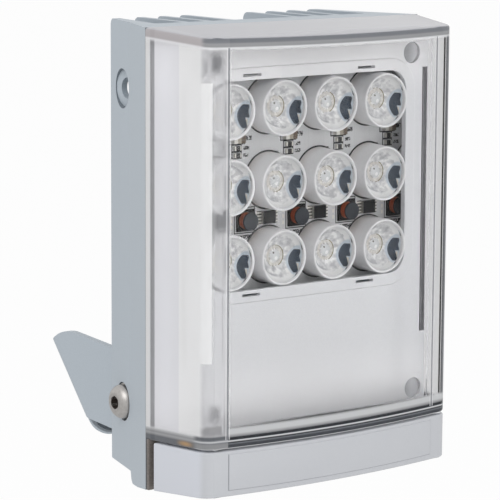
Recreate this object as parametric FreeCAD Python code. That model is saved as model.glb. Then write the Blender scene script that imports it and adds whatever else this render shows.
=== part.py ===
"""White light illuminator: finned aluminium lamp body, clear front cover and a folded U-bracket.

All sizes are in millimetres. The lamp stands upright with its front towards -Y and +Z up.
Places are first given in lamp coordinates: X = 0 is the middle plane, Y = 0 the line through the
two front corners of the cover, Z = 0 the lower front edge. Every piece is then shifted, so that
the origin is the centre of the bracket's wall face, where the lamp is fastened.
"""
import FreeCAD, Part
import math
import os

V = FreeCAD.Vector

# Clear cover: plan outline, heights and walls
COVER_FRONT_HALF = 61.7     # half width between the front corners
COVER_JOINT_HALF = 68.8     # half width where cover and housing meet
COVER_BULGE = 5.8           # how far the middle of the front stands before its corners
JOINT_Y = 30.6              # joint plane between cover and housing
COVER_HEIGHT = 180.0        # height at the front corners
TOP_RISE = 2.4              # the top rises this much from the corners to the joint
BOTTOM_DROP = 1.4           # the underside drops this much on the way to the joint
COVER_CORNER_R = 6.0        # upright front corners
COVER_EDGE_R = 1.2          # edge between front and top
PANE_T = 3.0                # thickness of the clear front
SIDE_WALL_T = 3.0           # thickness of the clear sides
TOP_WALL_T = 3.6            # thickness of the clear top and bottom walls
FLANGE_T = 1.5              # thin rim that is clamped against the housing
TONGUE_T = 1.2              # hook along the top of the cover
TONGUE_DEPTH = 2.6
TONGUE_HALF = 45.0

# Seam above the lower cap
CAP_TOP_Z = 18.3            # top of the lower cap
SEAM_GAP = 0.8              # open seam between cap and cover
CAP_REAR_Y = 26.4           # rear edge of the cap
CAP_WALL_T = 2.2
CAP_PANEL_HALF = 51.8       # raised bare field on the cap
CAP_PANEL_MARGIN = 2.6
CAP_PANEL_RISE = 0.35

# Sliding insert behind the clear front
INSERT_HALF = 51.8
INSERT_T = 1.5
INSERT_GAP = 0.3            # play around the insert
RAIL_T = 1.2                # rails that hold the insert

# Heatsink housing
HOUSING_REAR_Y = 80.9       # fin tips
HOUSING_REAR_HALF = 51.5    # half width at the fin tips
KNEE_Y = 58.0               # the side changes its slope here
KNEE_HALF = 57.9
HOUSING_TOP_Z = COVER_HEIGHT + TOP_RISE
FIN_BOTTOM_Z = -0.7         # lower end of the fins
LIP_BOTTOM_Z = -5.0         # lowest point of the tray
LIP_REAR_Y = 56.3
CHANNEL_FLOOR_Y = 46.0      # rear face of the base between the fins
WALL_INNER_FLOOR_HALF = 53.5
WALL_INNER_REAR_HALF = 48.6
FIN_CENTRES = (16.6, 27.6, 38.7)
FIN_ROOT_T = 3.4
FIN_TIP_T = 2.4
FIN_CORNER_R = 3.0
CHANNEL_FLOOR_R = 1.2
LIP_START = (45.0, -4.2)    # (y, z) places along the drip lip under the tray
LIP_LOW_Y = 52.0
LIP_TURN = (55.4, -3.9)
LIP_END_Z = -1.9

# Grid of lenses
COLUMNS = 4
ROWS = 3
COLUMN_PITCH = 25.7
ROW_PITCH = 29.6
MIDDLE_ROW_Z = COVER_HEIGHT - 61.1
HOLDER_D = 21.4
GRID_HALF_WIDTH = (COLUMNS - 1) / 2.0 * COLUMN_PITCH + HOLDER_D / 2.0
GRID_HALF_HEIGHT = (ROWS - 1) / 2.0 * ROW_PITCH + HOLDER_D / 2.0

# Board seat and wiring pocket in the front of the housing
SEAT_Y = 29.1
SEAT_HALF = COVER_JOINT_HALF - 9.8
SEAT_TOP_Z = MIDDLE_ROW_Z + GRID_HALF_HEIGHT + 2.1
SEAT_BOTTOM_Z = MIDDLE_ROW_Z - GRID_HALF_HEIGHT - 4.6
SEAT_CORNER_R = 5.0
POCKET_HALF = 47.0
POCKET_BOTTOM_Z = 30.0
POCKET_TOP_Z = SEAT_BOTTOM_Z - 5.0
POCKET_FLOOR_Y = 39.5
POCKET_CORNER_R = 6.0
GASKET_W = 2.4
GASKET_DEPTH = 1.6
GASKET_INSET = 3.0
GASKET_TOP_INSET = 7.2
GASKET_CORNER_R = 6.0

# Fixing holes on both sides
BORE_Y = 66.5               # centre of the fixing holes
PIVOT_Z = 26.3              # lower pair: the tilt axis
UPPER_BORE_Z = COVER_HEIGHT - 24.9      # upper pair: left empty here
SPOT_FACE_D = 16.0
SPOT_FACE_X = 52.9          # floor of the spot face
BORE_D = 8.7
PAD_X = 50.2                # flat pad inside the wall
PAD_D = 20.0
PAD_RELIEF = 4.0            # clear depth over the pad, towards the fins

# Light board
BOARD_HALF = SEAT_HALF - 0.5
BOARD_TOP_Z = SEAT_TOP_Z - 0.5
BOARD_BOTTOM_Z = SEAT_BOTTOM_Z + 0.5
BOARD_T = 1.6
BOARD_CORNER_R = 3.0
PAD_SHEET_T = 0.5
PAD_SHEET_INSET = 1.0
EMITTER_SIZE = 3.5
EMITTER_T = 1.0
EMITTER_DOME_R = 1.4

# Lens holders and lenses
HOLDER_FRONT_Y = 15.4
HOLDER_CHAMFER = 0.4
HOLDER_WALL = 1.1
HOLDER_FLOOR_T = 1.4
HOLDER_EYE_D = 9.0
HOLDER_RIM_DEPTH = 0.7      # the lens lies this far behind the rim
LENS_FLANGE_T = 1.6
LENS_NECK_D = 7.6
LENS_PLAY = 0.1
LENS_STEP = 0.8             # the flank starts this far inside the flange
LENS_BOW = 0.6              # how far the flank bows towards the board
LENS_WELL_D = 4.5           # hollow over the emitter
LENS_WELL_WALL = 1.0        # straight wall of the hollow before its dome

# Inner bezel
BEZEL_FRONT_Y = 16.8
BEZEL_T = 1.8
BEZEL_GAP = 0.6             # air between bezel and cover
BEZEL_SIDE_T = 1.6
BEZEL_REAR_PLAY = 0.3       # the bezel's walls end this far before the joint
WINDOW_HALF = GRID_HALF_WIDTH + 0.35
WINDOW_TOP_Z = MIDDLE_ROW_Z + GRID_HALF_HEIGHT + 1.2
WINDOW_BOTTOM_Z = MIDDLE_ROW_Z - GRID_HALF_HEIGHT - 0.8
WINDOW_R = 8.0
RIM_W = 5.0                 # shallow raised border around the window
RIM_RISE = 0.6
BEZEL_HOLE_D = 8.6
BEZEL_TOP_HOLE = (52.9, COVER_HEIGHT - 13.0)
BEZEL_LOW_HOLE = (55.6, 28.5)
POST_WALL = 1.0
SIDE_SLOT_X = 60.0
SIDE_SLOT_W = 2.6
SIDE_SLOT_Z = (52.0, COVER_HEIGHT - 19.0)
SNAP_SLOT_X = 28.7
SNAP_SLOT_L = 8.9
SNAP_SLOT_W = 1.1
SNAP_SLOT_OFFSET = 1.9      # beyond the window edge

# Small screws
SMALL_SHANK_D = 3.0
SMALL_HEAD_D = 5.6
SMALL_HEAD_T = 2.2
SMALL_HOLE_PLAY = 0.2
COVER_SCREW_X = (-40.0, 0.0, 40.0)
COVER_SCREW_Z = 9.5
COVER_SCREW_DEPTH = 8.0
CAP_SCREW_X = 48.0
CAP_SCREW_Y = 13.0
CAP_SCREW_LENGTH = 10.0
CAP_SCREW_SEAT_Z = 0.8      # floor of the recess for the head
CAP_SCREW_HEAD_T = 1.2
CAP_BOSS_D = 7.5

# Board parts
CHIP_SIZE = (6.2, 1.6, 5.0)
CHIP_LEG = (0.9, 0.4, 0.5)
CHIP_LEGS = 4
CHIP_LEG_PITCH = 1.27
CHIP_Z = MIDDLE_ROW_Z - ROW_PITCH / 2.0
INDUCTOR_BASE = 8.6         # square foot
INDUCTOR_BASE_T = 0.9
INDUCTOR_D = 7.2            # upper disc of the wound core
INDUCTOR_CORE_D = 5.4
INDUCTOR_T = 4.6
INDUCTOR_SHIFT = 14.4
INDUCTOR_Z = MIDDLE_ROW_Z - ROW_PITCH / 2.0 - 0.4
STACK_SHIFT = 10.4
STACK_PARTS = (             # width, depth, height and place above the middle row
    (5.6, 2.4, 3.0, 17.1),
    (3.2, 1.1, 1.7, 13.5),
    (3.2, 1.1, 1.7, 10.7),
)
TERMINAL_SIZE = (20.0, 8.0, 11.0)
TERMINAL_AT = (22.0, (POCKET_BOTTOM_Z + POCKET_TOP_Z) / 2.0)

# Cable gland and breather on the rear of the base
GLAND_Z = POCKET_TOP_Z - 13.0
GLAND_THREAD_D = 16.0
GLAND_HEX = 20.0
GLAND_HEX_T = 5.0
GLAND_NECK_L = 5.0
GLAND_DOME_D = 19.0
GLAND_DOME_T = 13.0
GLAND_BORE_D = 9.0
GLAND_PLUG_D = 11.0         # seal inside the gland's body
GLAND_PLAY = 0.5            # between flange and nut
GLAND_DOME_R = 4.0
VENT_Z = COVER_HEIGHT - 40.0
VENT_THREAD_D = 12.0
VENT_CAP_D = 18.0
VENT_CAP_T = 6.0
VENT_BORE_D = 5.0

# Tilt screws and washers
SCREW_D = 8.0
SCREW_HEAD_D = 14.0
SCREW_HEAD_T = 4.4
SCREW_LAND_T = 1.4
SCREW_HEX = 5.0
SCREW_HEX_DEPTH = 2.6
PLAIN_WASHER_D = 15.0
PLAIN_WASHER_T = 1.0
SPRING_WASHER_D = 13.6
SPRING_WASHER_T = 1.4
SPRING_WASHER_SPLIT = 1.0
WASHER_BORE_PLAY = 0.4
NUT_D = 14.0
NUT_T = 4.0

# Bracket
ARM_OUTER_X = 48.2          # outer faces of the arms
BRACKET_T = 3.0
BRACKET_BEND_R = 1.0        # inside radius of the folds
BRACKET_TILT = 41.7         # lean of the wall face against the upright lamp
PIVOT_FORWARD = 41.5        # tilt axis before the wall face
PIVOT_BELOW = 25.5          # tilt axis below the middle of the wall face
WEB_HALF = 19.2             # half height of the wall face
WEB_END_X = 46.2            # the rounded lower corners reach into the folds
WEB_CORNER_R = 8.5
ARM_WIDTH = 34.4
ARM_EAR_R = 24.0            # upper edge of the arm, where it turns down the slope
ARM_HEEL_R = 1.0            # corner next to the wall
ARM_TOP_V = 29.0            # highest point of the arm above the middle of the wall face
ARM_SLOPE = 45.0
WALL_BORE_D = 10.5
WALL_HOLE_D = 6.6
WALL_HOLE_PCD = 54.0

# Derived places
WEB_DIRECTION = (math.sin(math.radians(BRACKET_TILT)), math.cos(math.radians(BRACKET_TILT)))
WEB_NORMAL = (-WEB_DIRECTION[1], WEB_DIRECTION[0])
ORIGIN_Y = BORE_Y - PIVOT_FORWARD * WEB_NORMAL[0] + PIVOT_BELOW * WEB_DIRECTION[0]
ORIGIN_Z = PIVOT_Z - PIVOT_FORWARD * WEB_NORMAL[1] + PIVOT_BELOW * WEB_DIRECTION[1]
COVER_BOTTOM_Z = CAP_TOP_Z + SEAM_GAP
BOARD_FRONT_Y = SEAT_Y - PAD_SHEET_T - BOARD_T
COLUMN_XS = [(i - (COLUMNS - 1) / 2.0) * COLUMN_PITCH for i in range(COLUMNS)]
ROW_ZS = [MIDDLE_ROW_Z + ((ROWS - 1) / 2.0 - i) * ROW_PITCH for i in range(ROWS)]
SIDE_SLOPE = (COVER_JOINT_HALF - COVER_FRONT_HALF) / JOINT_Y
FRONT_RADIUS = (COVER_FRONT_HALF ** 2 + COVER_BULGE ** 2) / (2 * COVER_BULGE)
SCREW_SEAT_X = SPOT_FACE_X + PLAIN_WASHER_T + SPRING_WASHER_T
REACH = 2.0 * (HOUSING_TOP_Z + HOUSING_REAR_Y)      # past the lamp on every side


def save(shape, name):
    """Shift a finished piece to the wall-face origin and write it."""
    placed = shape.copy()
    placed.translate(V(0, -ORIGIN_Y, -ORIGIN_Z))
    if placed.Solids and len(placed.Solids) == 1:
        placed = placed.Solids[0]
    placed.exportStep("parts/" + name + ".step")


def box(x0, x1, y0, y1, z0, z1):
    return Part.makeBox(x1 - x0, y1 - y0, z1 - z0, V(x0, y0, z0))


def rod(axis, diameter, start, end, centre):
    """A cylinder along 'x', 'y' or 'z' from start to end; centre holds the two other places."""
    if axis == "x":
        return Part.makeCylinder(diameter / 2.0, end - start, V(start, centre[0], centre[1]), V(1, 0, 0))
    if axis == "y":
        return Part.makeCylinder(diameter / 2.0, end - start, V(centre[0], start, centre[1]), V(0, 1, 0))
    return Part.makeCylinder(diameter / 2.0, end - start, V(centre[0], centre[1], start), V(0, 0, 1))


def prism(points, direction):
    """A closed outline of points, extruded."""
    wire = Part.makePolygon(points + [points[0]])
    return Part.Face(wire).extrude(direction)


def hex_prism(axis_point, direction, across_flats, length):
    radius = across_flats / math.sqrt(3.0)
    points = [V(radius * math.cos(math.radians(60 * i)), radius * math.sin(math.radians(60 * i)), 0)
              for i in range(6)]
    solid = prism(points, V(0, 0, length))
    solid.Placement = FreeCAD.Placement(axis_point, FreeCAD.Rotation(V(0, 0, 1), direction))
    return solid


def rounded_plate(half, z0, z1, y0, y1, radius):
    """A flat plate in the XZ plane with rounded corners."""
    plate = box(-half, half, y0, y1, z0, z1)
    edges = [e for e in plate.Edges if abs(e.tangentAt(e.FirstParameter).y) > 0.9]
    return plate.makeFillet(radius, edges)


def mirrored(shape):
    return shape.mirror(V(0, 0, 0), V(1, 0, 0))


def fuse_all(shapes):
    result = shapes[0]
    if len(shapes) > 1:
        result = result.fuse(shapes[1:])
    return result.removeSplitter()


def cover_block(front_inset, side_inset, top_inset, bottom_inset, y_end):
    """The cover's outer form, drawn in by the given insets and cut off at y_end."""
    y_start = -COVER_BULGE - 2.0
    front_half = COVER_FRONT_HALF + SIDE_SLOPE * y_start - side_inset
    end_half = COVER_FRONT_HALF + SIDE_SLOPE * y_end - side_inset
    wedge = prism([V(-front_half, y_start, -REACH), V(front_half, y_start, -REACH),
                   V(end_half, y_end, -REACH), V(-end_half, y_end, -REACH)], V(0, 0, 2 * REACH))
    bow = Part.makeCylinder(FRONT_RADIUS - front_inset, 2 * REACH,
                            V(0, FRONT_RADIUS - COVER_BULGE, -REACH))
    plan = wedge.common(bow)
    corners = [e for e in plan.Edges
               if abs(e.tangentAt(e.FirstParameter).z) > 0.9 and e.CenterOfMass.y < y_end - 1]
    plan = plan.makeFillet(max(COVER_CORNER_R - side_inset, 1.0), corners)
    top = COVER_HEIGHT - top_inset
    rise = TOP_RISE / JOINT_Y
    drop = BOTTOM_DROP / JOINT_Y
    side = prism([
        V(-REACH, y_start, bottom_inset - drop * y_start),
        V(-REACH, y_end, bottom_inset - drop * y_end),
        V(-REACH, y_end, top + rise * y_end),
        V(-REACH, y_start, top + rise * y_start),
    ], V(2 * REACH, 0, 0))
    return plan.common(side)


def edges_where(shape, test):
    return [e for e in shape.Edges if test(e.BoundBox, e)]


def make_front_cover():
    """Clear one-piece shell with a thin rim, closed below by its own bottom wall."""
    outer = cover_block(0, 0, 0, 0, JOINT_Y)
    above = box(-REACH, REACH, -REACH, JOINT_Y, COVER_BOTTOM_Z, REACH)
    shell = outer.common(above)
    front_top = edges_where(shell, lambda b, e: b.YMax < COVER_CORNER_R + 2 * COVER_EDGE_R
                            and b.ZMin > COVER_HEIGHT - TOP_RISE)
    shell = shell.makeFillet(COVER_EDGE_R, front_top)
    inner = cover_block(PANE_T, SIDE_WALL_T, TOP_WALL_T, 0, JOINT_Y)
    inner = inner.common(box(-REACH, REACH, -REACH, REACH, COVER_BOTTOM_Z + TOP_WALL_T, REACH))
    rim = outer.common(box(-REACH, REACH, JOINT_Y - FLANGE_T, JOINT_Y, -REACH, REACH))
    shell = shell.cut(inner).fuse(rim.cut(inner))
    parts = [shell]
    for side in (-1, 1):
        boss = rod("z", CAP_BOSS_D, CAP_WALL_T, COVER_BOTTOM_Z + 0.5, (side * CAP_SCREW_X, CAP_SCREW_Y))
        parts.append(boss)
        parts.append(insert_rail(side))
    tongue_top = COVER_HEIGHT + TOP_RISE - TOP_WALL_T
    parts.append(box(-TONGUE_HALF, TONGUE_HALF, JOINT_Y - FLANGE_T, JOINT_Y + TONGUE_DEPTH,
                     tongue_top - TONGUE_T, tongue_top + 0.2))
    cover = fuse_all(parts)
    for side in (-1, 1):
        cover = cover.cut(rod("z", SMALL_SHANK_D, 0, CAP_SCREW_LENGTH, (side * CAP_SCREW_X, CAP_SCREW_Y)))
    for x in COVER_SCREW_X:
        cover = cover.cut(rod("y", SMALL_SHANK_D + SMALL_HOLE_PLAY, JOINT_Y - 2 * FLANGE_T,
                              JOINT_Y + FLANGE_T, (x, COVER_SCREW_Z)))
    return cover


def front_arc_y(x, front_inset):
    """Depth of the curved front at X, for a face drawn in by front_inset."""
    return FRONT_RADIUS - COVER_BULGE - math.sqrt((FRONT_RADIUS - front_inset) ** 2 - x ** 2)


def curved_sheet(half, y_front, thickness, z0, z1):
    """A sheet bent like the cover's front; y_front is the inset of its outer face."""
    def corner(x, inset, z):
        return V(x, front_arc_y(x, inset), z)
    near = [corner(x, y_front, z0) for x in (-half, 0, half)]
    far = [corner(x, y_front + thickness, z0) for x in (-half, 0, half)]
    wire = Part.Wire([
        Part.Arc(near[0], near[1], near[2]).toShape(),
        Part.LineSegment(near[2], far[2]).toShape(),
        Part.Arc(far[2], far[1], far[0]).toShape(),
        Part.LineSegment(far[0], near[0]).toShape(),
    ])
    return Part.Face(wire).extrude(V(0, 0, z1 - z0))


def insert_rail(side):
    """Upright rail with a lip behind the insert, moulded on the inside of the cover."""
    z0 = COVER_BOTTOM_Z + TOP_WALL_T - 0.2
    z1 = COVER_HEIGHT - TOP_WALL_T
    inside = INSERT_HALF + INSERT_GAP
    y0 = front_arc_y(inside, PANE_T)
    y1 = y0 + 2 * INSERT_GAP + INSERT_T
    web = box(inside, inside + RAIL_T, y0 - 1.0, y1 + RAIL_T, z0, z1)
    lip = box(inside - RAIL_T, inside + RAIL_T, y1, y1 + RAIL_T, z0, z1)
    rail = web.fuse(lip)
    return rail if side > 0 else mirrored(rail)


def make_diffuser_insert():
    z0 = COVER_BOTTOM_Z + TOP_WALL_T
    z1 = COVER_HEIGHT - TOP_WALL_T - 2 * INSERT_GAP
    return curved_sheet(INSERT_HALF, PANE_T + INSERT_GAP, INSERT_T, z0, z1)


def make_lower_cap():
    """Hollow cap under the seam, open to the rear, with a bare raised field on its front."""
    outer = cover_block(0, 0, 0, 0, CAP_REAR_Y)
    outer = outer.common(box(-REACH, REACH, -REACH, CAP_REAR_Y, -REACH, CAP_TOP_Z))
    low_edges = edges_where(outer, lambda b, e: b.YMax < COVER_CORNER_R + 2 * COVER_EDGE_R
                            and b.ZMax < COVER_EDGE_R)
    outer = outer.makeFillet(COVER_EDGE_R, low_edges)
    inner = cover_block(CAP_WALL_T, CAP_WALL_T, 0, CAP_WALL_T, CAP_REAR_Y + 1)
    inner = inner.common(box(-REACH, REACH, -REACH, REACH, -REACH, CAP_TOP_Z - CAP_WALL_T))
    field = curved_sheet(CAP_PANEL_HALF, -CAP_PANEL_RISE, CAP_WALL_T, CAP_PANEL_MARGIN,
                         CAP_TOP_Z - CAP_PANEL_MARGIN / 2)
    cap = outer.cut(inner).fuse(field)
    for side in (-1, 1):
        at = (side * CAP_SCREW_X, CAP_SCREW_Y)
        cap = cap.cut(rod("z", CAP_BOSS_D + SMALL_HOLE_PLAY, CAP_WALL_T, CAP_TOP_Z + 1, at))
        cap = cap.cut(rod("z", SMALL_SHANK_D + SMALL_HOLE_PLAY, -5, CAP_WALL_T + 1, at))
        cap = cap.cut(rod("z", SMALL_HEAD_D + SMALL_HOLE_PLAY, -5, CAP_SCREW_SEAT_Z, at))
    return cap.removeSplitter()


def housing_plan(z0, z1):
    """Plan of the housing: its sides draw in twice on the way to the fin tips."""
    points = [
        V(-COVER_JOINT_HALF, JOINT_Y, z0), V(COVER_JOINT_HALF, JOINT_Y, z0),
        V(KNEE_HALF, KNEE_Y, z0), V(HOUSING_REAR_HALF, HOUSING_REAR_Y, z0),
        V(-HOUSING_REAR_HALF, HOUSING_REAR_Y, z0), V(-KNEE_HALF, KNEE_Y, z0),
    ]
    return prism(points, V(0, 0, z1 - z0))


def housing_side_profile():
    """Outline seen from the side: flat top, tray with a drip lip, shorter fins behind."""
    def at(y, z):
        return V(-REACH, y, z)
    joint_low = at(JOINT_Y, -BOTTOM_DROP)
    lip_start = at(LIP_START[0], LIP_START[1])
    lip_low = at(LIP_LOW_Y, LIP_BOTTOM_Z)
    lip_turn = at(LIP_TURN[0], LIP_TURN[1])
    lip_end = at(LIP_REAR_Y, LIP_END_Z)
    fin_front = at(LIP_REAR_Y + 0.6, FIN_BOTTOM_Z)
    fin_rear = at(HOUSING_REAR_Y, FIN_BOTTOM_Z)
    top_rear = at(HOUSING_REAR_Y, HOUSING_TOP_Z)
    top_front = at(JOINT_Y, HOUSING_TOP_Z)
    edges = [
        Part.LineSegment(joint_low, lip_start).toShape(),
        Part.LineSegment(lip_start, lip_low).toShape(),
        Part.Arc(lip_low, lip_turn, lip_end).toShape(),
    ]
    corners = [lip_end, fin_front, fin_rear, top_rear, top_front, joint_low]
    for start, end in zip(corners, corners[1:]):
        edges.append(Part.LineSegment(start, end).toShape())
    face = Part.Face(Part.Wire(edges))
    return face.extrude(V(2 * REACH, 0, 0))


def fin_channels():
    """The spaces between the fins, with draft, cut from the rear."""
    channels = []
    z0 = -REACH
    height = 2 * REACH
    root = FIN_ROOT_T / 2.0
    tip = FIN_TIP_T / 2.0
    y0 = CHANNEL_FLOOR_Y
    y1 = HOUSING_REAR_Y + 0.01
    gaps = []
    gaps.append((-FIN_CENTRES[0] + root, FIN_CENTRES[0] - root, -FIN_CENTRES[0] + tip, FIN_CENTRES[0] - tip))
    for side in (-1, 1):
        for inner, outer in zip(FIN_CENTRES, FIN_CENTRES[1:]):
            gap = (side * (inner + root), side * (outer - root), side * (inner + tip), side * (outer - tip))
            gaps.append(gap)
        last = FIN_CENTRES[-1]
        gaps.append((side * (last + root), side * WALL_INNER_FLOOR_HALF,
                     side * (last + tip), side * WALL_INNER_REAR_HALF))
    for a0, b0, a1, b1 in gaps:
        channel = prism([V(a0, y0, z0), V(b0, y0, z0), V(b1, y1, z0), V(a1, y1, z0)], V(0, 0, height))
        floor_edges = [e for e in channel.Edges
                       if abs(e.tangentAt(e.FirstParameter).z) > 0.9 and abs(e.CenterOfMass.y - y0) < 0.01]
        channels.append(channel.makeFillet(CHANNEL_FLOOR_R, floor_edges))
    return channels


def side_rod(side, diameter, inner_x, outer_x, z):
    """A cylinder across one side wall, on the line of the fixing holes."""
    start, end = (inner_x, outer_x) if side > 0 else (-outer_x, -inner_x)
    return rod("x", diameter, start, end, (BORE_Y, z))


def make_heatsink_housing():
    """Finned casting with spot-faced holes, board seat, wiring pocket and gasket groove."""
    body = housing_plan(LIP_BOTTOM_Z - 2, HOUSING_TOP_Z).common(housing_side_profile())
    top_rear = edges_where(body, lambda b, e: b.ZMin > HOUSING_TOP_Z - 0.1 and b.YMin > HOUSING_REAR_Y - 0.1)
    body = body.makeFillet(FIN_CORNER_R, top_rear)
    body = body.cut(fin_channels())
    places = [(side, z) for side in (-1, 1) for z in (PIVOT_Z, UPPER_BORE_Z)]
    body = body.fuse([side_rod(side, PAD_D, PAD_X, SPOT_FACE_X, z) for side, z in places])
    for side, z in places:
        body = body.cut(side_rod(side, SPOT_FACE_D, SPOT_FACE_X, REACH, z))
        body = body.cut(side_rod(side, BORE_D, PAD_X - PAD_RELIEF, REACH, z))
        body = body.cut(side_rod(side, PAD_D, PAD_X - PAD_RELIEF, PAD_X, z))
    seat = rounded_plate(SEAT_HALF, SEAT_BOTTOM_Z, SEAT_TOP_Z, SEAT_Y, JOINT_Y + 1, SEAT_CORNER_R)
    body = body.fuse(seat)
    pocket = rounded_plate(POCKET_HALF, POCKET_BOTTOM_Z, POCKET_TOP_Z, JOINT_Y - 5, POCKET_FLOOR_Y,
                           POCKET_CORNER_R)
    body = body.cut(pocket)
    body = body.cut(gasket_ring(GASKET_W))
    tongue_top = COVER_HEIGHT + TOP_RISE - TOP_WALL_T
    body = body.cut(box(-TONGUE_HALF - 0.3, TONGUE_HALF + 0.3, JOINT_Y, JOINT_Y + TONGUE_DEPTH + 0.3,
                        tongue_top - TONGUE_T - 0.2, tongue_top + 0.4))
    body = body.cut(rod("y", GLAND_THREAD_D, JOINT_Y, 60, (0, GLAND_Z)))
    body = body.cut(rod("y", VENT_THREAD_D, CHANNEL_FLOOR_Y - 8, 60, (0, VENT_Z)))
    for x in COVER_SCREW_X:
        body = body.cut(rod("y", SMALL_SHANK_D, JOINT_Y - 1, JOINT_Y + COVER_SCREW_DEPTH, (x, COVER_SCREW_Z)))
    for x, z in bezel_hole_places():
        body = body.cut(rod("y", SMALL_SHANK_D, JOINT_Y - 1, JOINT_Y + COVER_SCREW_DEPTH, (x, z)))
    return body.removeSplitter()


def gasket_ring(width):
    half = COVER_JOINT_HALF - GASKET_INSET
    z0 = GASKET_INSET - BOTTOM_DROP
    z1 = COVER_HEIGHT + TOP_RISE - GASKET_TOP_INSET
    y1 = JOINT_Y + GASKET_DEPTH
    outer = rounded_plate(half, z0, z1, JOINT_Y, y1, GASKET_CORNER_R)
    inner = rounded_plate(half - width, z0 + width, z1 - width, JOINT_Y, y1, GASKET_CORNER_R - width)
    return outer.cut(inner)


def bezel_hole_places():
    return [(side * x, z) for side in (-1, 1) for x, z in (BEZEL_TOP_HOLE, BEZEL_LOW_HOLE)]


def make_bezel():
    """White tray with side walls, a rounded window, four screw sockets and small slots."""
    inset = SIDE_WALL_T + BEZEL_GAP
    z0 = COVER_BOTTOM_Z + TOP_WALL_T + BEZEL_GAP
    z1 = COVER_HEIGHT - TOP_WALL_T - BEZEL_GAP
    rear = JOINT_Y - BEZEL_REAR_PLAY

    def half_at(y, extra):
        return COVER_FRONT_HALF + SIDE_SLOPE * y - inset - extra

    def tray(extra, y0, y1, low, high):
        points = [V(-half_at(y0, extra), y0, low), V(half_at(y0, extra), y0, low),
                  V(half_at(y1, extra), y1, low), V(-half_at(y1, extra), y1, low)]
        return prism(points, V(0, 0, high - low))
    body = tray(0, BEZEL_FRONT_Y, rear, z0, z1)
    corners = edges_where(body, lambda b, e: b.YMax < BEZEL_FRONT_Y + 0.1)
    body = body.makeFillet(1.0, corners)
    body = body.cut(tray(BEZEL_SIDE_T, BEZEL_FRONT_Y + BEZEL_T, rear + 1, z0 + BEZEL_SIDE_T,
                         z1 - BEZEL_SIDE_T))
    rim = rounded_plate(WINDOW_HALF + RIM_W, WINDOW_BOTTOM_Z - RIM_W, WINDOW_TOP_Z + RIM_W,
                        BEZEL_FRONT_Y - RIM_RISE, BEZEL_FRONT_Y + 0.5, WINDOW_R + RIM_W)
    front_edges = edges_where(rim, lambda b, e: b.YMax < BEZEL_FRONT_Y - RIM_RISE + 0.01)
    rim = rim.makeChamfer(RIM_RISE * 0.8, front_edges)
    posts = []
    for x, z in bezel_hole_places():
        posts.append(rod("y", BEZEL_HOLE_D + 2 * POST_WALL, BEZEL_FRONT_Y + 0.5, rear, (x, z)))
    outline = tray(0, BEZEL_FRONT_Y, rear, z0, z1)
    posts = [post.common(outline) for post in posts]
    body = fuse_all([body, rim] + posts)
    for x, z in bezel_hole_places():
        floor_y = rear - BEZEL_T
        body = body.cut(rod("y", BEZEL_HOLE_D, BEZEL_FRONT_Y - 2, floor_y, (x, z)))
        body = body.cut(rod("y", SMALL_SHANK_D + SMALL_HOLE_PLAY, floor_y - 1, rear + 2, (x, z)))
    window = rounded_plate(WINDOW_HALF, WINDOW_BOTTOM_Z, WINDOW_TOP_Z, BEZEL_FRONT_Y - 3,
                           BEZEL_FRONT_Y + BEZEL_T + 1, WINDOW_R)
    body = body.cut(window)
    for side in (-1, 1):
        slot = box(SIDE_SLOT_X - SIDE_SLOT_W / 2, SIDE_SLOT_X + SIDE_SLOT_W / 2, BEZEL_FRONT_Y - 3,
                   BEZEL_FRONT_Y + BEZEL_T + 0.1, SIDE_SLOT_Z[0], SIDE_SLOT_Z[1])
        body = body.cut(slot if side > 0 else mirrored(slot))
        for z in (WINDOW_BOTTOM_Z - SNAP_SLOT_OFFSET, WINDOW_TOP_Z + SNAP_SLOT_OFFSET):
            cut = box(SNAP_SLOT_X - SNAP_SLOT_L / 2, SNAP_SLOT_X + SNAP_SLOT_L / 2, BEZEL_FRONT_Y - 3,
                      BEZEL_FRONT_Y + BEZEL_T + 1, z - SNAP_SLOT_W / 2, z + SNAP_SLOT_W / 2)
            body = body.cut(cut if side > 0 else mirrored(cut))
    return body.removeSplitter()


def make_circuit_board():
    front = BOARD_FRONT_Y
    return rounded_plate(BOARD_HALF, BOARD_BOTTOM_Z, BOARD_TOP_Z, front, front + BOARD_T, BOARD_CORNER_R)


def make_thermal_sheet():
    inset = PAD_SHEET_INSET
    return rounded_plate(BOARD_HALF - inset, BOARD_BOTTOM_Z + inset, BOARD_TOP_Z - inset,
                         SEAT_Y - PAD_SHEET_T, SEAT_Y, BOARD_CORNER_R)


def revolve_about_y(points, x, z):
    """Turn a profile of (radius, y) points round a line along Y through x, z."""
    wire = Part.makePolygon([V(r, y, 0) for r, y in points] + [V(points[0][0], points[0][1], 0)])
    solid = Part.Face(wire).revolve(V(0, 0, 0), V(0, 1, 0), 360)
    solid.translate(V(x, 0, z))
    return solid


def make_lens_holder(x, z):
    """White cup: a floor with an eye over the emitter and a thin rim round the lens."""
    radius = HOLDER_D / 2.0
    inner = radius - HOLDER_WALL
    eye = HOLDER_EYE_D / 2.0
    front = HOLDER_FRONT_Y
    floor = BOARD_FRONT_Y - HOLDER_FLOOR_T
    chamfer = HOLDER_CHAMFER
    profile = [
        (eye, BOARD_FRONT_Y), (radius, BOARD_FRONT_Y), (radius, front + chamfer), (radius - chamfer, front),
        (inner + chamfer / 2, front), (inner, front + chamfer / 2), (inner, floor), (eye, floor),
    ]
    return revolve_about_y(profile, x, z)


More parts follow.
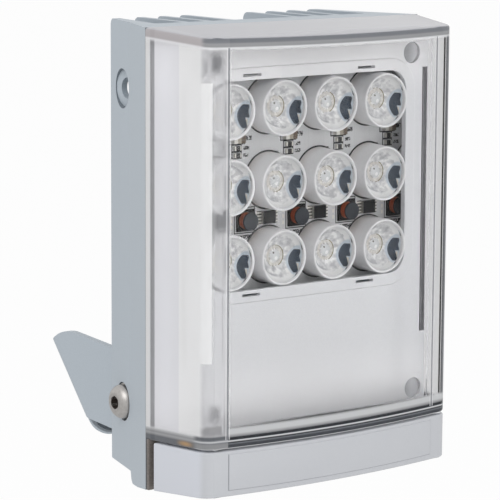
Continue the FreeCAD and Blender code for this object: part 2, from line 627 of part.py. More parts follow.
def make_lens(x, z):
    """Clear collimator: flat front flange, curved flank and a hollow over the emitter."""
    front = HOLDER_FRONT_Y + HOLDER_RIM_DEPTH
    flange = HOLDER_D / 2.0 - HOLDER_WALL - LENS_PLAY
    neck = LENS_NECK_D / 2.0
    end = BOARD_FRONT_Y - HOLDER_FLOOR_T
    middle_y = (front + LENS_FLANGE_T + end) / 2.0 + LENS_BOW
    middle_r = neck + 0.66 * (flange - neck)
    well = LENS_WELL_D / 2.0
    well_y = end - LENS_WELL_WALL
    diagonal = well * math.sqrt(0.5)
    flank = V(flange - LENS_STEP, front + LENS_FLANGE_T, 0)
    edges = [
        Part.LineSegment(V(0, front, 0), V(flange, front, 0)).toShape(),
        Part.LineSegment(V(flange, front, 0), V(flange, front + LENS_FLANGE_T, 0)).toShape(),
        Part.LineSegment(V(flange, front + LENS_FLANGE_T, 0), flank).toShape(),
        Part.Arc(flank, V(middle_r, middle_y, 0), V(neck, end, 0)).toShape(),
        Part.LineSegment(V(neck, end, 0), V(well, end, 0)).toShape(),
        Part.LineSegment(V(well, end, 0), V(well, well_y, 0)).toShape(),
        Part.Arc(V(well, well_y, 0), V(diagonal, well_y - diagonal, 0), V(0, well_y - well, 0)).toShape(),
        Part.LineSegment(V(0, well_y - well, 0), V(0, front, 0)).toShape(),
    ]
    solid = Part.Face(Part.Wire(edges)).revolve(V(0, 0, 0), V(0, 1, 0), 360)
    solid.translate(V(x, 0, z))
    return solid


def make_emitters():
    pieces = []
    half = EMITTER_SIZE / 2.0
    for x in COLUMN_XS:
        for z in ROW_ZS:
            y1 = BOARD_FRONT_Y
            base = box(x - half, x + half, y1 - EMITTER_T, y1, z - half, z + half)
            dome = Part.makeSphere(EMITTER_DOME_R, V(x, y1 - EMITTER_T, z))
            dome = dome.common(box(x - 3, x + 3, y1 - EMITTER_T - 3, y1 - EMITTER_T, z - 3, z + 3))
            pieces.append(base.fuse(dome).removeSplitter())
    return Part.makeCompound(pieces)


def make_driver_chips():
    pieces = []
    width, depth, height = CHIP_SIZE
    leg_l, leg_t, leg_w = CHIP_LEG
    y1 = BOARD_FRONT_Y
    for x in COLUMN_XS:
        body = box(x - width / 2, x + width / 2, y1 - depth, y1 - 0.2, CHIP_Z - height / 2,
                   CHIP_Z + height / 2)
        legs = []
        for side in (-1, 1):
            near = x + side * (width / 2 - 0.1)
            far = x + side * (width / 2 + leg_l)
            for i in range(CHIP_LEGS):
                z = CHIP_Z + (i - (CHIP_LEGS - 1) / 2.0) * CHIP_LEG_PITCH - leg_w / 2
                legs.append(box(min(near, far), max(near, far), y1 - leg_t, y1, z, z + leg_w))
        pieces.append(fuse_all([body] + legs))
    return Part.makeCompound(pieces)


def make_inductors():
    """Wound cores: a square foot, a narrower core and a round disc on top."""
    pieces = []
    y1 = BOARD_FRONT_Y
    half = INDUCTOR_BASE / 2.0
    for x in COLUMN_XS:
        at = (x + INDUCTOR_SHIFT, INDUCTOR_Z)
        foot = box(at[0] - half, at[0] + half, y1 - INDUCTOR_BASE_T, y1, at[1] - half, at[1] + half)
        core = rod("y", INDUCTOR_CORE_D, y1 - INDUCTOR_T, y1 - INDUCTOR_BASE_T, at)
        disc = rod("y", INDUCTOR_D, y1 - INDUCTOR_T, y1 - INDUCTOR_T + INDUCTOR_BASE_T, at)
        pieces.append(fuse_all([foot, core, disc]))
    return Part.makeCompound(pieces)


def make_resistor_stacks():
    pieces = []
    y1 = BOARD_FRONT_Y
    for x in COLUMN_XS:
        centre = x + STACK_SHIFT
        for width, depth, height, rise in STACK_PARTS:
            z = MIDDLE_ROW_Z + rise
            pieces.append(box(centre - width / 2, centre + width / 2, y1 - depth, y1, z - height / 2,
                              z + height / 2))
    return Part.makeCompound(pieces)


def make_terminal_block():
    width, depth, height = TERMINAL_SIZE
    x, z = TERMINAL_AT
    y1 = POCKET_FLOOR_Y
    body = box(x - width / 2, x + width / 2, y1 - depth, y1, z - height / 2, z + height / 2)
    poles = 3
    for i in range(poles):
        px = x + (i - 1) * width / poles
        body = body.cut(rod("y", 3.4, y1 - depth - 1, y1 - depth + 3.5, (px, z + 1.5)))
        body = body.cut(box(px - 1.6, px + 1.6, y1 - 5.5, y1 - 2.5, z - height / 2 - 1, z - height / 2 + 4))
    return body


def small_screw_along_y(x, z, head_y, length):
    """Pan head towards -Y, shank towards +Y, cross recess in the head."""
    head = rod("y", SMALL_HEAD_D, head_y - SMALL_HEAD_T, head_y, (x, z))
    rim = edges_where(head, lambda b, e: b.YMax < head_y - SMALL_HEAD_T + 0.01)
    head = head.makeFillet(0.9, rim)
    shank = rod("y", SMALL_SHANK_D, head_y, head_y + length, (x, z))
    screw = head.fuse(shank)
    for dx, dz in ((0.4, 1.5), (1.5, 0.4)):
        recess = box(x - dx, x + dx, head_y - SMALL_HEAD_T - 1, head_y - SMALL_HEAD_T + 1.1, z - dz, z + dz)
        screw = screw.cut(recess)
    return screw.removeSplitter()


def make_bezel_screws():
    head_y = JOINT_Y - BEZEL_REAR_PLAY - BEZEL_T
    length = JOINT_Y + COVER_SCREW_DEPTH - head_y
    return Part.makeCompound([small_screw_along_y(x, z, head_y, length) for x, z in bezel_hole_places()])


def make_cover_screws():
    head_y = JOINT_Y - FLANGE_T
    length = FLANGE_T + COVER_SCREW_DEPTH
    return Part.makeCompound([small_screw_along_y(x, COVER_SCREW_Z, head_y, length) for x in COVER_SCREW_X])


def make_cap_screws():
    pieces = []
    for side in (-1, 1):
        at = (side * CAP_SCREW_X, CAP_SCREW_Y)
        head = rod("z", SMALL_HEAD_D, CAP_SCREW_SEAT_Z - CAP_SCREW_HEAD_T, CAP_SCREW_SEAT_Z, at)
        shank = rod("z", SMALL_SHANK_D, CAP_SCREW_SEAT_Z, CAP_SCREW_LENGTH, at)
        slot = box(at[0] - SMALL_HEAD_D, at[0] + SMALL_HEAD_D, CAP_SCREW_Y - 0.4, CAP_SCREW_Y + 0.4,
                   CAP_SCREW_SEAT_Z - CAP_SCREW_HEAD_T - 1, CAP_SCREW_SEAT_Z - CAP_SCREW_HEAD_T + 0.7)
        pieces.append(head.fuse(shank).removeSplitter().cut(slot))
    return Part.makeCompound(pieces)


def make_gland_body():
    y0 = CHANNEL_FLOOR_Y
    thread = rod("y", GLAND_THREAD_D, POCKET_FLOOR_Y, y0, (0, GLAND_Z))
    flange = hex_prism(V(0, y0, GLAND_Z), V(0, 1, 0), GLAND_HEX, GLAND_HEX_T)
    neck = rod("y", GLAND_THREAD_D - 1, y0 + GLAND_HEX_T, y0 + GLAND_HEX_T + GLAND_NECK_L, (0, GLAND_Z))
    body = fuse_all([thread, flange, neck])
    return body.cut(rod("y", GLAND_PLUG_D, -REACH, REACH, (0, GLAND_Z)))


def make_gland_nut():
    """Domed clamping nut; its skirt goes over the gland's neck."""
    y0 = CHANNEL_FLOOR_Y + GLAND_HEX_T + GLAND_PLAY
    outer = rod("y", GLAND_DOME_D, y0, y0 + GLAND_DOME_T, (0, GLAND_Z))
    tip = edges_where(outer, lambda b, e: b.YMin > y0 + GLAND_DOME_T - 0.01)
    outer = outer.makeFillet(GLAND_DOME_R, tip)
    outer = outer.common(hex_prism(V(0, y0, GLAND_Z), V(0, 1, 0), GLAND_DOME_D - 0.8, GLAND_DOME_T))
    outer = outer.cut(rod("y", GLAND_THREAD_D - 1, y0 - 1, y0 + GLAND_NECK_L, (0, GLAND_Z)))
    return outer.cut(rod("y", GLAND_BORE_D, y0, REACH, (0, GLAND_Z)))


def make_gland_seal():
    """Rubber plug in the gland's body, with a narrower end that closes the nut's bore."""
    y0 = CHANNEL_FLOOR_Y + GLAND_HEX_T + GLAND_PLAY
    plug = rod("y", GLAND_PLUG_D, CHANNEL_FLOOR_Y, y0 + GLAND_NECK_L - GLAND_PLAY, (0, GLAND_Z))
    nose = rod("y", GLAND_BORE_D, y0, y0 + GLAND_DOME_T + GLAND_PLAY, (0, GLAND_Z))
    return plug.fuse(nose).removeSplitter()


def make_breather_vent():
    y0 = CHANNEL_FLOOR_Y
    stem = rod("y", VENT_THREAD_D, y0 - 8, y0, (0, VENT_Z))
    cap = rod("y", VENT_CAP_D, y0, y0 + VENT_CAP_T, (0, VENT_Z))
    tip = edges_where(cap, lambda b, e: b.YMin > y0 + VENT_CAP_T - 0.01)
    cap = cap.makeFillet(1.5, tip)
    vent = stem.fuse(cap)
    vent = vent.cut(rod("y", VENT_BORE_D, y0 - 9, y0 + VENT_CAP_T - 2, (0, VENT_Z)))
    for i in range(4):
        slot = box(-VENT_CAP_D, VENT_CAP_D, y0 + 1.5, y0 + 2.7, VENT_Z - 1.2, VENT_Z + 1.2)
        slot.rotate(V(0, y0, VENT_Z), V(0, 1, 0), 45 * i)
        vent = vent.cut(slot)
    return vent.removeSplitter()


def both_sides(shape):
    return Part.makeCompound([shape, mirrored(shape)])


def make_pivot_screws():
    """Button-head screws, head outwards, shank through wall and arm into the nut."""
    x0 = SCREW_SEAT_X
    end = ARM_OUTER_X - BRACKET_T - NUT_T
    land = rod("x", SCREW_HEAD_D, x0, x0 + SCREW_LAND_T, (BORE_Y, PIVOT_Z))
    dome_h = SCREW_HEAD_T - SCREW_LAND_T
    radius = SCREW_HEAD_D / 2.0
    top_r = radius * 0.55
    bow = (radius + top_r) / 2.0 + 0.5
    wire = Part.Wire([
        Part.LineSegment(V(0, 0, 0), V(0, radius, 0)).toShape(),
        Part.Arc(V(0, radius, 0), V(dome_h * 0.62, bow, 0), V(dome_h, top_r, 0)).toShape(),
        Part.LineSegment(V(dome_h, top_r, 0), V(dome_h, 0, 0)).toShape(),
        Part.LineSegment(V(dome_h, 0, 0), V(0, 0, 0)).toShape(),
    ])
    dome = Part.Face(wire).revolve(V(0, 0, 0), V(1, 0, 0), 360)
    dome.translate(V(x0 + SCREW_LAND_T, BORE_Y, PIVOT_Z))
    shank = rod("x", SCREW_D, end, x0, (BORE_Y, PIVOT_Z))
    screw = fuse_all([land, dome, shank])
    socket = hex_prism(V(x0 + SCREW_HEAD_T - SCREW_HEX_DEPTH, BORE_Y, PIVOT_Z), V(1, 0, 0), SCREW_HEX, 5)
    screw = screw.cut(socket)
    tip = edges_where(screw, lambda b, e: b.XMax < end + 0.01)
    screw = screw.makeChamfer(0.8, tip)
    return both_sides(screw)


def washer(x0, thickness, diameter, bore):
    ring = rod("x", diameter, x0, x0 + thickness, (BORE_Y, PIVOT_Z))
    return ring.cut(rod("x", bore, x0 - 1, x0 + thickness + 1, (BORE_Y, PIVOT_Z)))


def make_plain_washers():
    return both_sides(washer(SPOT_FACE_X, PLAIN_WASHER_T, PLAIN_WASHER_D, SCREW_D + WASHER_BORE_PLAY))


def make_spring_washers():
    """Washers with the narrow split of a spring washer."""
    x0 = SPOT_FACE_X + PLAIN_WASHER_T
    ring = washer(x0, SPRING_WASHER_T, SPRING_WASHER_D, SCREW_D + WASHER_BORE_PLAY)
    half = SPRING_WASHER_SPLIT / 2.0
    split = box(x0 - 1, x0 + SPRING_WASHER_T + 1, BORE_Y - half, BORE_Y + half, PIVOT_Z,
                PIVOT_Z + SPRING_WASHER_D)
    return both_sides(ring.cut(split))


def make_friction_washers():
    return both_sides(washer(ARM_OUTER_X, PAD_X - ARM_OUTER_X, PAD_D - 2, SCREW_D + WASHER_BORE_PLAY))


def make_arm_nuts():
    x1 = ARM_OUTER_X - BRACKET_T
    nut = hex_prism(V(x1 - NUT_T, BORE_Y, PIVOT_Z), V(1, 0, 0), NUT_D - 1, NUT_T)
    return both_sides(nut.cut(rod("x", SCREW_D, x1 - NUT_T - 1, x1 + 1, (BORE_Y, PIVOT_Z))))


def arm_outline():
    """Arm in the bracket's own plane: w forward from the wall, v up along it."""
    slope = math.radians(ARM_SLOPE)
    along = (math.cos(slope), -math.sin(slope))
    across = (math.sin(slope), math.cos(slope))
    half = ARM_WIDTH / 2.0
    pivot = (PIVOT_FORWARD, -PIVOT_BELOW)
    upper_end = (pivot[0] + half * across[0], pivot[1] + half * across[1])
    lower_end = (pivot[0] - half * across[0], pivot[1] - half * across[1])
    nose = (pivot[0] + half * along[0], pivot[1] + half * along[1])
    upper_start = (upper_end[0] - (ARM_TOP_V - upper_end[1]) / math.tan(slope), ARM_TOP_V)
    return upper_start, upper_end, nose, lower_end


def place_bracket(shape):
    """From the bracket's own frame (X, w along -Y, v along Z) to its leaning place."""
    placed = shape.copy()
    placed.rotate(V(0, 0, 0), V(1, 0, 0), -BRACKET_TILT)
    placed.translate(V(0, ORIGIN_Y, ORIGIN_Z))
    return placed


def folded_channel():
    """Endless U-section of the bracket's sheet, with rounded folds."""
    def block(half, y_rear, radius):
        solid = box(-half, half, -REACH, y_rear, -REACH, REACH)
        folds = [e for e in solid.Edges
                 if abs(e.tangentAt(e.FirstParameter).z) > 0.9 and abs(e.CenterOfMass.y - y_rear) < 0.01]
        return solid.makeFillet(radius, folds)
    outer = block(ARM_OUTER_X, 0, BRACKET_BEND_R + BRACKET_T)
    inner = block(ARM_OUTER_X - BRACKET_T, -BRACKET_T, BRACKET_BEND_R)
    return outer.cut(inner)


def make_mounting_bracket():
    """One folded strip: web against the wall, two sloping arms with round ends."""
    upper_start, upper_end, nose, lower_end = arm_outline()

    def at(point):
        return V(-ARM_OUTER_X, -point[0], point[1])
    corner_top = (0.0, ARM_TOP_V)
    corner_low = (0.0, lower_end[1] + lower_end[0] * math.tan(math.radians(ARM_SLOPE)))
    edges = [
        Part.LineSegment(at(corner_low), at(corner_top)).toShape(),
        Part.LineSegment(at(corner_top), at(upper_start)).toShape(),
        Part.LineSegment(at(upper_start), at(upper_end)).toShape(),
        Part.Arc(at(upper_end), at(nose), at(lower_end)).toShape(),
        Part.LineSegment(at(lower_end), at(corner_low)).toShape(),
    ]
    side = Part.Face(Part.Wire(edges)).extrude(V(2 * ARM_OUTER_X, 0, 0))
    ear = edges_where(side, lambda b, e: b.ZMin > ARM_TOP_V - 0.01 and b.XLength > 50 and b.YMax < -0.01)
    side = side.makeFillet(ARM_EAR_R, ear)
    heel = edges_where(side, lambda b, e: b.ZMin > ARM_TOP_V - 0.01 and b.XLength > 50 and b.YMin > -0.01)
    side = side.makeFillet(ARM_HEEL_R, heel)
    channel = folded_channel()
    arms = side.common(channel)
    fold_x = ARM_OUTER_X - BRACKET_T - BRACKET_BEND_R
    notch = box(-fold_x, fold_x, -BRACKET_T - 1, 1, WEB_HALF, ARM_TOP_V + 5)
    arms = arms.cut(notch)
    fold_depth = BRACKET_BEND_R + BRACKET_T
    web = rounded_plate(WEB_END_X, -WEB_HALF, WEB_HALF, -fold_depth, 0, WEB_CORNER_R)
    web = web.cut(box(-WEB_END_X, WEB_END_X, -fold_depth, 0, 0, WEB_HALF)).common(channel)
    square_top = box(-fold_x, fold_x, -BRACKET_T, 0, 0, WEB_HALF)
    bracket = fuse_all([arms, web, square_top])
    bracket = bracket.cut(rod("y", WALL_BORE_D, -10, 5, (0, 0)))
    for side_x in (-1, 1):
        bracket = bracket.cut(rod("y", WALL_HOLE_D, -10, 5, (side_x * WALL_HOLE_PCD / 2, 0)))
    reach = ARM_OUTER_X + 10
    bracket = bracket.cut(rod("x", SCREW_D, -reach, reach, (-PIVOT_FORWARD, -PIVOT_BELOW)))
    return place_bracket(bracket)


def main():
    os.makedirs("parts", exist_ok=True)
    save(make_heatsink_housing(), "heatsink_housing")
    save(make_front_cover(), "front_cover")
    save(make_diffuser_insert(), "diffuser_insert")
    save(make_lower_cap(), "lower_cap")
    save(gasket_ring(GASKET_W), "cover_gasket")
    save(make_bezel(), "bezel")
    save(make_circuit_board(), "circuit_board")
    save(make_thermal_sheet(), "thermal_sheet")
    for row, z in enumerate(ROW_ZS, start=1):
        for column, x in enumerate(COLUMN_XS, start=1):
            save(make_lens_holder(x, z), "lens_holder_%d_%d" % (row, column))
            save(make_lens(x, z), "lens_%d_%d" % (row, column))
    save(make_emitters(), "light_emitters")
    save(make_driver_chips(), "driver_chips")
    save(make_inductors(), "inductors")
    save(make_resistor_stacks(), "resistor_stacks")
    save(make_terminal_block(), "terminal_block")
    save(make_bezel_screws(), "bezel_screws")
    save(make_cover_screws(), "cover_screws")
    save(make_cap_screws(), "cap_screws")
    save(make_gland_body(), "gland_body")
    save(make_gland_nut(), "gland_nut")
    save(make_gland_seal(), "gland_seal")
    save(make_breather_vent(), "breather_vent")
    save(make_mounting_bracket(), "mounting_bracket")
    save(make_pivot_screws(), "pivot_screws")
    save(make_plain_washers(), "plain_washers")
    save(make_spring_washers(), "spring_washers")
    save(make_friction_washers(), "friction_washers")
    save(make_arm_nuts(), "arm_nuts")


main()
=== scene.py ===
"""White light illuminator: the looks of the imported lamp, from its housing to its smallest board parts."""
import math

import bmesh
import bpy
from mathutils import Matrix, Vector


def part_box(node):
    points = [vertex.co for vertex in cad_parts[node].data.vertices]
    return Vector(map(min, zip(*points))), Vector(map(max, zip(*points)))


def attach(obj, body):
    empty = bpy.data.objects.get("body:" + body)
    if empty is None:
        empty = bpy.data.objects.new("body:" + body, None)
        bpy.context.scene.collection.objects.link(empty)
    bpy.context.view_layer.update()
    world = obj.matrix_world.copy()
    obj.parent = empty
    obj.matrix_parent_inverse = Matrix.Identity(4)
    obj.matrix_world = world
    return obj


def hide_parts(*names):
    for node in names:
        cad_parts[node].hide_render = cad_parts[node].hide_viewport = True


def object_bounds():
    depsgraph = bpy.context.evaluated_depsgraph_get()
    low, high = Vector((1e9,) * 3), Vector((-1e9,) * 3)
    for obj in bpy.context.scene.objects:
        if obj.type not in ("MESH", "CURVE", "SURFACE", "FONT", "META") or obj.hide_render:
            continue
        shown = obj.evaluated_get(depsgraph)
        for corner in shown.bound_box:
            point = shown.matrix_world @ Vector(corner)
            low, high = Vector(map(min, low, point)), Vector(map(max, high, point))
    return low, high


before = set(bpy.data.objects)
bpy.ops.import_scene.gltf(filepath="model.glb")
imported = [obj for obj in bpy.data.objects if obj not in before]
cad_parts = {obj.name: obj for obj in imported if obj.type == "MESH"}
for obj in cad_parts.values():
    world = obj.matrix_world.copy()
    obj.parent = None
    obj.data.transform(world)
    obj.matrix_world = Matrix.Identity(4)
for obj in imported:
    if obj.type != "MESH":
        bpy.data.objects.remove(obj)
cad_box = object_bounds()
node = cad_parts

# Camera: a long lens from the lamp's left front, a little above its middle, as the photograph
# was taken. All places below are measured on the lamp in millimetres: across from its middle,
# back from its front corners and up from its lower front edge.
housing_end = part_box("heatsink_housing")[1]
HOUSING_REAR = 80.9
HOUSING_TOP = 182.4
FRONT_EDGE = Vector((0, housing_end.y - HOUSING_REAR / 1000, housing_end.z - HOUSING_TOP / 1000))


def at(x, y, z):
    return FRONT_EDGE + Vector((x, y, z)) / 1000


CAMERA_PLACE = (-631.56, -792.56, 258.12)
CAMERA_LENS = 185.44
CAMERA_YAW = math.radians(36.71)
CAMERA_PITCH = math.radians(9.27)
CAMERA_ROLL = math.radians(0.318)
back = Vector((-math.sin(CAMERA_YAW) * math.cos(CAMERA_PITCH),
               -math.cos(CAMERA_YAW) * math.cos(CAMERA_PITCH), math.sin(CAMERA_PITCH)))
right = Vector((math.cos(CAMERA_YAW), -math.sin(CAMERA_YAW), 0))
up = back.cross(right)
rolled_right = right * math.cos(CAMERA_ROLL) + up * math.sin(CAMERA_ROLL)
rolled_up = up * math.cos(CAMERA_ROLL) - right * math.sin(CAMERA_ROLL)
camera = bpy.data.objects.new("camera", bpy.data.cameras.new("camera"))
camera.data.sensor_width = 36
camera.data.lens = CAMERA_LENS
camera.data.clip_end = 20
camera.matrix_world = Matrix.LocRotScale(
    at(*CAMERA_PLACE), Matrix((rolled_right, rolled_up, back)).transposed(), (1, 1, 1))
bpy.context.collection.objects.link(camera)
bpy.context.scene.camera = camera


# Studio: a plain white floor and white surroundings, which look white to the camera and in
# reflections and light the lamp at a plain level. Two soft boxes stand at its left and its front;
# the front one is kept out of reflections, so that it doesn't veil the clear cover.
WHITE = (1, 1, 1, 1)
MIRRORED_LEVEL = 0.95
SKY_LEVEL = 0.70
FLOOR_LEVEL = 0.95
FLOOR_HALF = 6
FLOOR_DROP = 0.14
LAMP_MIDDLE = Vector((0, -0.05, 0.08))
CLEAR_BOUNCES = 24


class Shade:
    """A value in a material's nodes. Sums and products of such values add the nodes they need."""

    def __init__(self, tree, socket=None):
        self.tree = tree
        self.socket = socket

    def add(self, kind, settings=None, inputs=None, output=0):
        new = self.tree.nodes.new(kind)
        for name, value in (settings or {}).items():
            if name == "stops":
                while len(new.color_ramp.elements) < len(value):
                    new.color_ramp.elements.new(0.5)
                for element, (place, colour) in zip(new.color_ramp.elements, value):
                    element.position = place
                    element.color = colour
            else:
                setattr(new, name, value)
        for name, value in (inputs or {}).items():
            if isinstance(value, Shade):
                self.tree.links.new(value.socket, new.inputs[name])
            else:
                new.inputs[name].default_value = value
        return Shade(self.tree, new.outputs[output] if new.outputs else None)

    def maths(self, operation, first, second=0.0):
        return self.add("ShaderNodeMath", {"operation": operation}, {0: first, 1: second})

    def __add__(self, other):
        return self.maths("ADD", self, other)

    def __radd__(self, other):
        return self.maths("ADD", other, self)

    def __sub__(self, other):
        return self.maths("SUBTRACT", self, other)

    def __rsub__(self, other):
        return self.maths("SUBTRACT", other, self)

    def __mul__(self, other):
        return self.maths("MULTIPLY", self, other)

    def __rmul__(self, other):
        return self.maths("MULTIPLY", other, self)

    def __truediv__(self, other):
        return self.maths("DIVIDE", self, other)

    def __abs__(self):
        return self.maths("ABSOLUTE", self)

    def larger(self, other):
        return self.maths("MAXIMUM", self, other)

    def distance(self, other):
        """How far a place lies from a line, from its two distances at a right angle."""
        return self.maths("SQRT", self * self + other * other)

    def between(self, low, high):
        """0 at low, 1 at high, with a soft passage."""
        return self.add("ShaderNodeMapRange", {"interpolation_type": "SMOOTHSTEP"},
                        {"Value": self, "From Min": low, "From Max": high})

    def band(self, low, high, soft=0.1):
        """1 from low to high and 0 outside, with soft edges."""
        return self.between(low - soft, low + soft) * self.between(high + soft, high - soft)

    def blend(self, first, second):
        """The first colour where the value is 0 and the second where it is 1."""
        return self.add("ShaderNodeMix", {"data_type": "RGBA"}, {"Factor": self, 6: first, 7: second},
                        output=2)


world = bpy.data.worlds.new("studio")
bpy.context.scene.world = world
world.use_nodes = True
world.node_tree.nodes.clear()
sky = Shade(world.node_tree)
seen = sky.add("ShaderNodeLightPath", output="Is Camera Ray")
mirrored = sky.add("ShaderNodeLightPath", output="Is Glossy Ray")
passed = sky.add("ShaderNodeLightPath", output="Is Transmission Ray")
strength = seen.larger(mirrored * MIRRORED_LEVEL).larger(passed).larger(SKY_LEVEL)
glow = sky.add("ShaderNodeBackground", inputs={"Color": WHITE, "Strength": strength})
sky.add("ShaderNodeOutputWorld", inputs={"Surface": glow})

floor_mesh = bpy.data.meshes.new("floor")
floor_shape = bmesh.new()
bmesh.ops.create_grid(floor_shape, x_segments=1, y_segments=1, size=FLOOR_HALF)
bmesh.ops.translate(floor_shape, verts=floor_shape.verts, vec=(0, 0, cad_box[0].z - FLOOR_DROP))
floor_shape.to_mesh(floor_mesh)
floor_shape.free()
floor = bpy.data.objects.new("floor", floor_mesh)
bpy.context.collection.objects.link(floor)
floor_paint = bpy.data.materials.new("floor_paint")
floor_paint.use_nodes = True
floor_paint.node_tree.nodes.clear()
ground = Shade(floor_paint.node_tree)
matt = ground.add("ShaderNodeBsdfDiffuse", inputs={"Color": (0.86, 0.86, 0.86, 1)})
white = ground.add("ShaderNodeEmission", inputs={"Color": WHITE, "Strength": 1.0})
shown = ground.add("ShaderNodeLightPath", output="Is Camera Ray")
both = ground.add("ShaderNodeMixShader", inputs={0: shown * FLOOR_LEVEL, 1: matt, 2: white})
ground.add("ShaderNodeOutputMaterial", inputs={"Surface": both})
floor_mesh.materials.append(floor_paint)

for name, place, size, watts in (
        ("left_softbox", (-0.9, -0.5, 0.9), 0.9, 5.0),
        ("front_softbox", (0.22, -1.35, 0.26), 0.8, 4.8)):
    lamp_data = bpy.data.lights.new(name, "AREA")
    lamp_data.shape = "SQUARE"
    lamp_data.size = size
    lamp_data.energy = watts
    softbox = bpy.data.objects.new(name, lamp_data)
    softbox.location = place
    aim = LAMP_MIDDLE - Vector(place)
    softbox.rotation_euler = aim.to_track_quat("-Z", "Y").to_euler()
    softbox.visible_glossy = name == "left_softbox"
    bpy.context.collection.objects.link(softbox)

bpy.context.scene.view_settings.view_transform = "Standard"
bpy.context.scene.cycles.max_bounces = CLEAR_BOUNCES
bpy.context.scene.cycles.diffuse_bounces = 8
bpy.context.scene.cycles.transparent_max_bounces = CLEAR_BOUNCES


# Housing: one aluminium casting with its fins, machined spot faces and board seat, finished in a
# fine light grey powder coat. It is dark at the rubber edge under the cover, and painted shade
# darkens it behind the bezel's side slots, round the edge of the upper spot face and in the lower
# spot faces, which lie in the shade of their screws.
PIVOT = (66.5, 26.3)
UPPER_BORE_Z = 155.1
SPOT_FACE_R = 8.0
JOINT = 30.6                # how far back the cover meets the housing


def linear(red, green, blue):
    """A colour read as 0 to 255 on a screen, as the shader takes it."""
    return tuple(((v / 255 + 0.055) / 1.055) ** 2.4 for v in (red, green, blue)) + (1.0,)


def new_material(name):
    """An empty material, its node builder and the place on the lamp in millimetres."""
    material = bpy.data.materials.new(name)
    material.use_nodes = True
    material.node_tree.nodes.clear()
    builder = Shade(material.node_tree)
    place = builder.add("ShaderNodeTexCoord", output="Object")
    scaled = builder.add("ShaderNodeVectorMath", {"operation": "SUBTRACT"}, {0: place, 1: FRONT_EDGE})
    scaled = builder.add("ShaderNodeVectorMath", {"operation": "SCALE"}, {0: scaled, "Scale": 1000.0})
    axes = builder.add("ShaderNodeSeparateXYZ", inputs={0: scaled}).socket.node.outputs
    x, y, z = (Shade(builder.tree, axis) for axis in axes)
    return material, builder, scaled, x, y, z


def noise(place, scale, detail):
    """A soft random pattern; a larger scale makes it finer."""
    return place.add("ShaderNodeTexNoise", inputs={"Vector": place, "Scale": scale, "Detail": detail})


def relief_of(height, strength, distance):
    """Small bumps where the height changes."""
    return height.add("ShaderNodeBump", inputs={
        "Height": height, "Strength": strength, "Distance": distance})


def finish(builder, surface):
    builder.add("ShaderNodeOutputMaterial", inputs={"Surface": surface})


def dress(name, material):
    """Give a carried-over solid its finish."""
    mesh = node[name].data
    mesh.materials.clear()
    mesh.materials.append(material)


def powder_coat(name, shaded):
    """Fine-grained light grey paint; shaded takes the place and gives a darkening from 0 to 1, for dark
    joints and painted shade.
    """
    material, coat, place, x, y, z = new_material(name)
    grain = noise(place, 2.6, 2.0)
    cloud = noise(place, 0.06, 3.0)
    tone = (grain.between(0.35, 0.65) * 0.5 + cloud * 0.5).blend(
        linear(173, 182, 190), linear(181, 190, 198))
    tone = shaded(x, y, z).blend(tone, linear(62, 70, 78))
    bumps = relief_of(grain, 0.18, 0.0001)
    paint = coat.add("ShaderNodeBsdfPrincipled", inputs={
        "Base Color": tone, "Roughness": 0.42 + 0.1 * cloud, "Normal": bumps})
    finish(coat, paint)
    return material


def housing_joint_and_painted_shade(x, y, z):
    # Painted shade in the lower spot faces, round the upper spot face's edge and behind the side slots; the
    # rubber edge is a dark joint.
    run = y - PIVOT[0]
    lower_face_painted_shade = run.distance(z - PIVOT[1]).between(SPOT_FACE_R + 0.02, SPOT_FACE_R - 0.1)
    upper_edge_painted_shade = run.distance(z - UPPER_BORE_Z).band(SPOT_FACE_R - 0.15, SPOT_FACE_R + 0.1, 0.08)
    painted_shade_behind_slot = abs(x).band(56.0, 61.4, 0.3) * z.band(48.0, 165.0, 1.0)
    painted_shade_behind_slot = painted_shade_behind_slot * y.between(JOINT + 1.4, JOINT + 0.4)
    rubber_edge = y.between(JOINT + 0.7, JOINT + 0.3) * abs(x).between(66.0, 67.0)
    shade = (rubber_edge * 0.75).larger(lower_face_painted_shade * 0.85)
    return shade.larger(upper_edge_painted_shade * 0.6).larger(painted_shade_behind_slot * 0.9)


dress("heatsink_housing", powder_coat("housing_coat", housing_joint_and_painted_shade))


# Mounting bracket: one folded strip of sheet in the same paint. The lower front of its leaning web
# lies in the lamp's shade and gets painted shade; the face towards the wall doesn't.
WALL_FACE = (114.45, 17.73)
WALL_LEAN = math.radians(41.7)
WEB_HALF = 46.1
WEB_PAINTED_SHADE = 0.68


def bracket_painted_shade(x, y, z):
    web = abs(x).between(WEB_HALF + 0.5, WEB_HALF - 0.5)
    low_half = z.between(24.0, 16.0)
    from_wall = (WALL_FACE[0] - y) * math.cos(WALL_LEAN) + (z - WALL_FACE[1]) * math.sin(WALL_LEAN)
    # Painted shade on the lower half of the web's front face.
    return web * low_half * from_wall.between(1.0, 2.0) * WEB_PAINTED_SHADE


dress("mounting_bracket", powder_coat("bracket_coat", bracket_painted_shade))


# Gasket, thermal sheet, terminal block and cable gland: the parts behind the cover and on the
# rear of the housing, in rubber, silicone and dark plastic.
def plain_finish(name, low_colour, high_colour, roughness, specular=0.5):
    """A finish with a faint mottle between two near colours."""
    material, skin, place, *_ = new_material(name)
    mottle = noise(place, 1.2, 3.0)
    relief = relief_of(mottle, 0.08, 0.0001)
    surface = skin.add("ShaderNodeBsdfPrincipled", inputs={
        "Base Color": mottle.between(0.3, 0.7).blend(low_colour, high_colour),
        "Roughness": roughness + 0.12 * mottle, "Specular IOR Level": specular, "Normal": relief})
    finish(skin, surface)
    return material


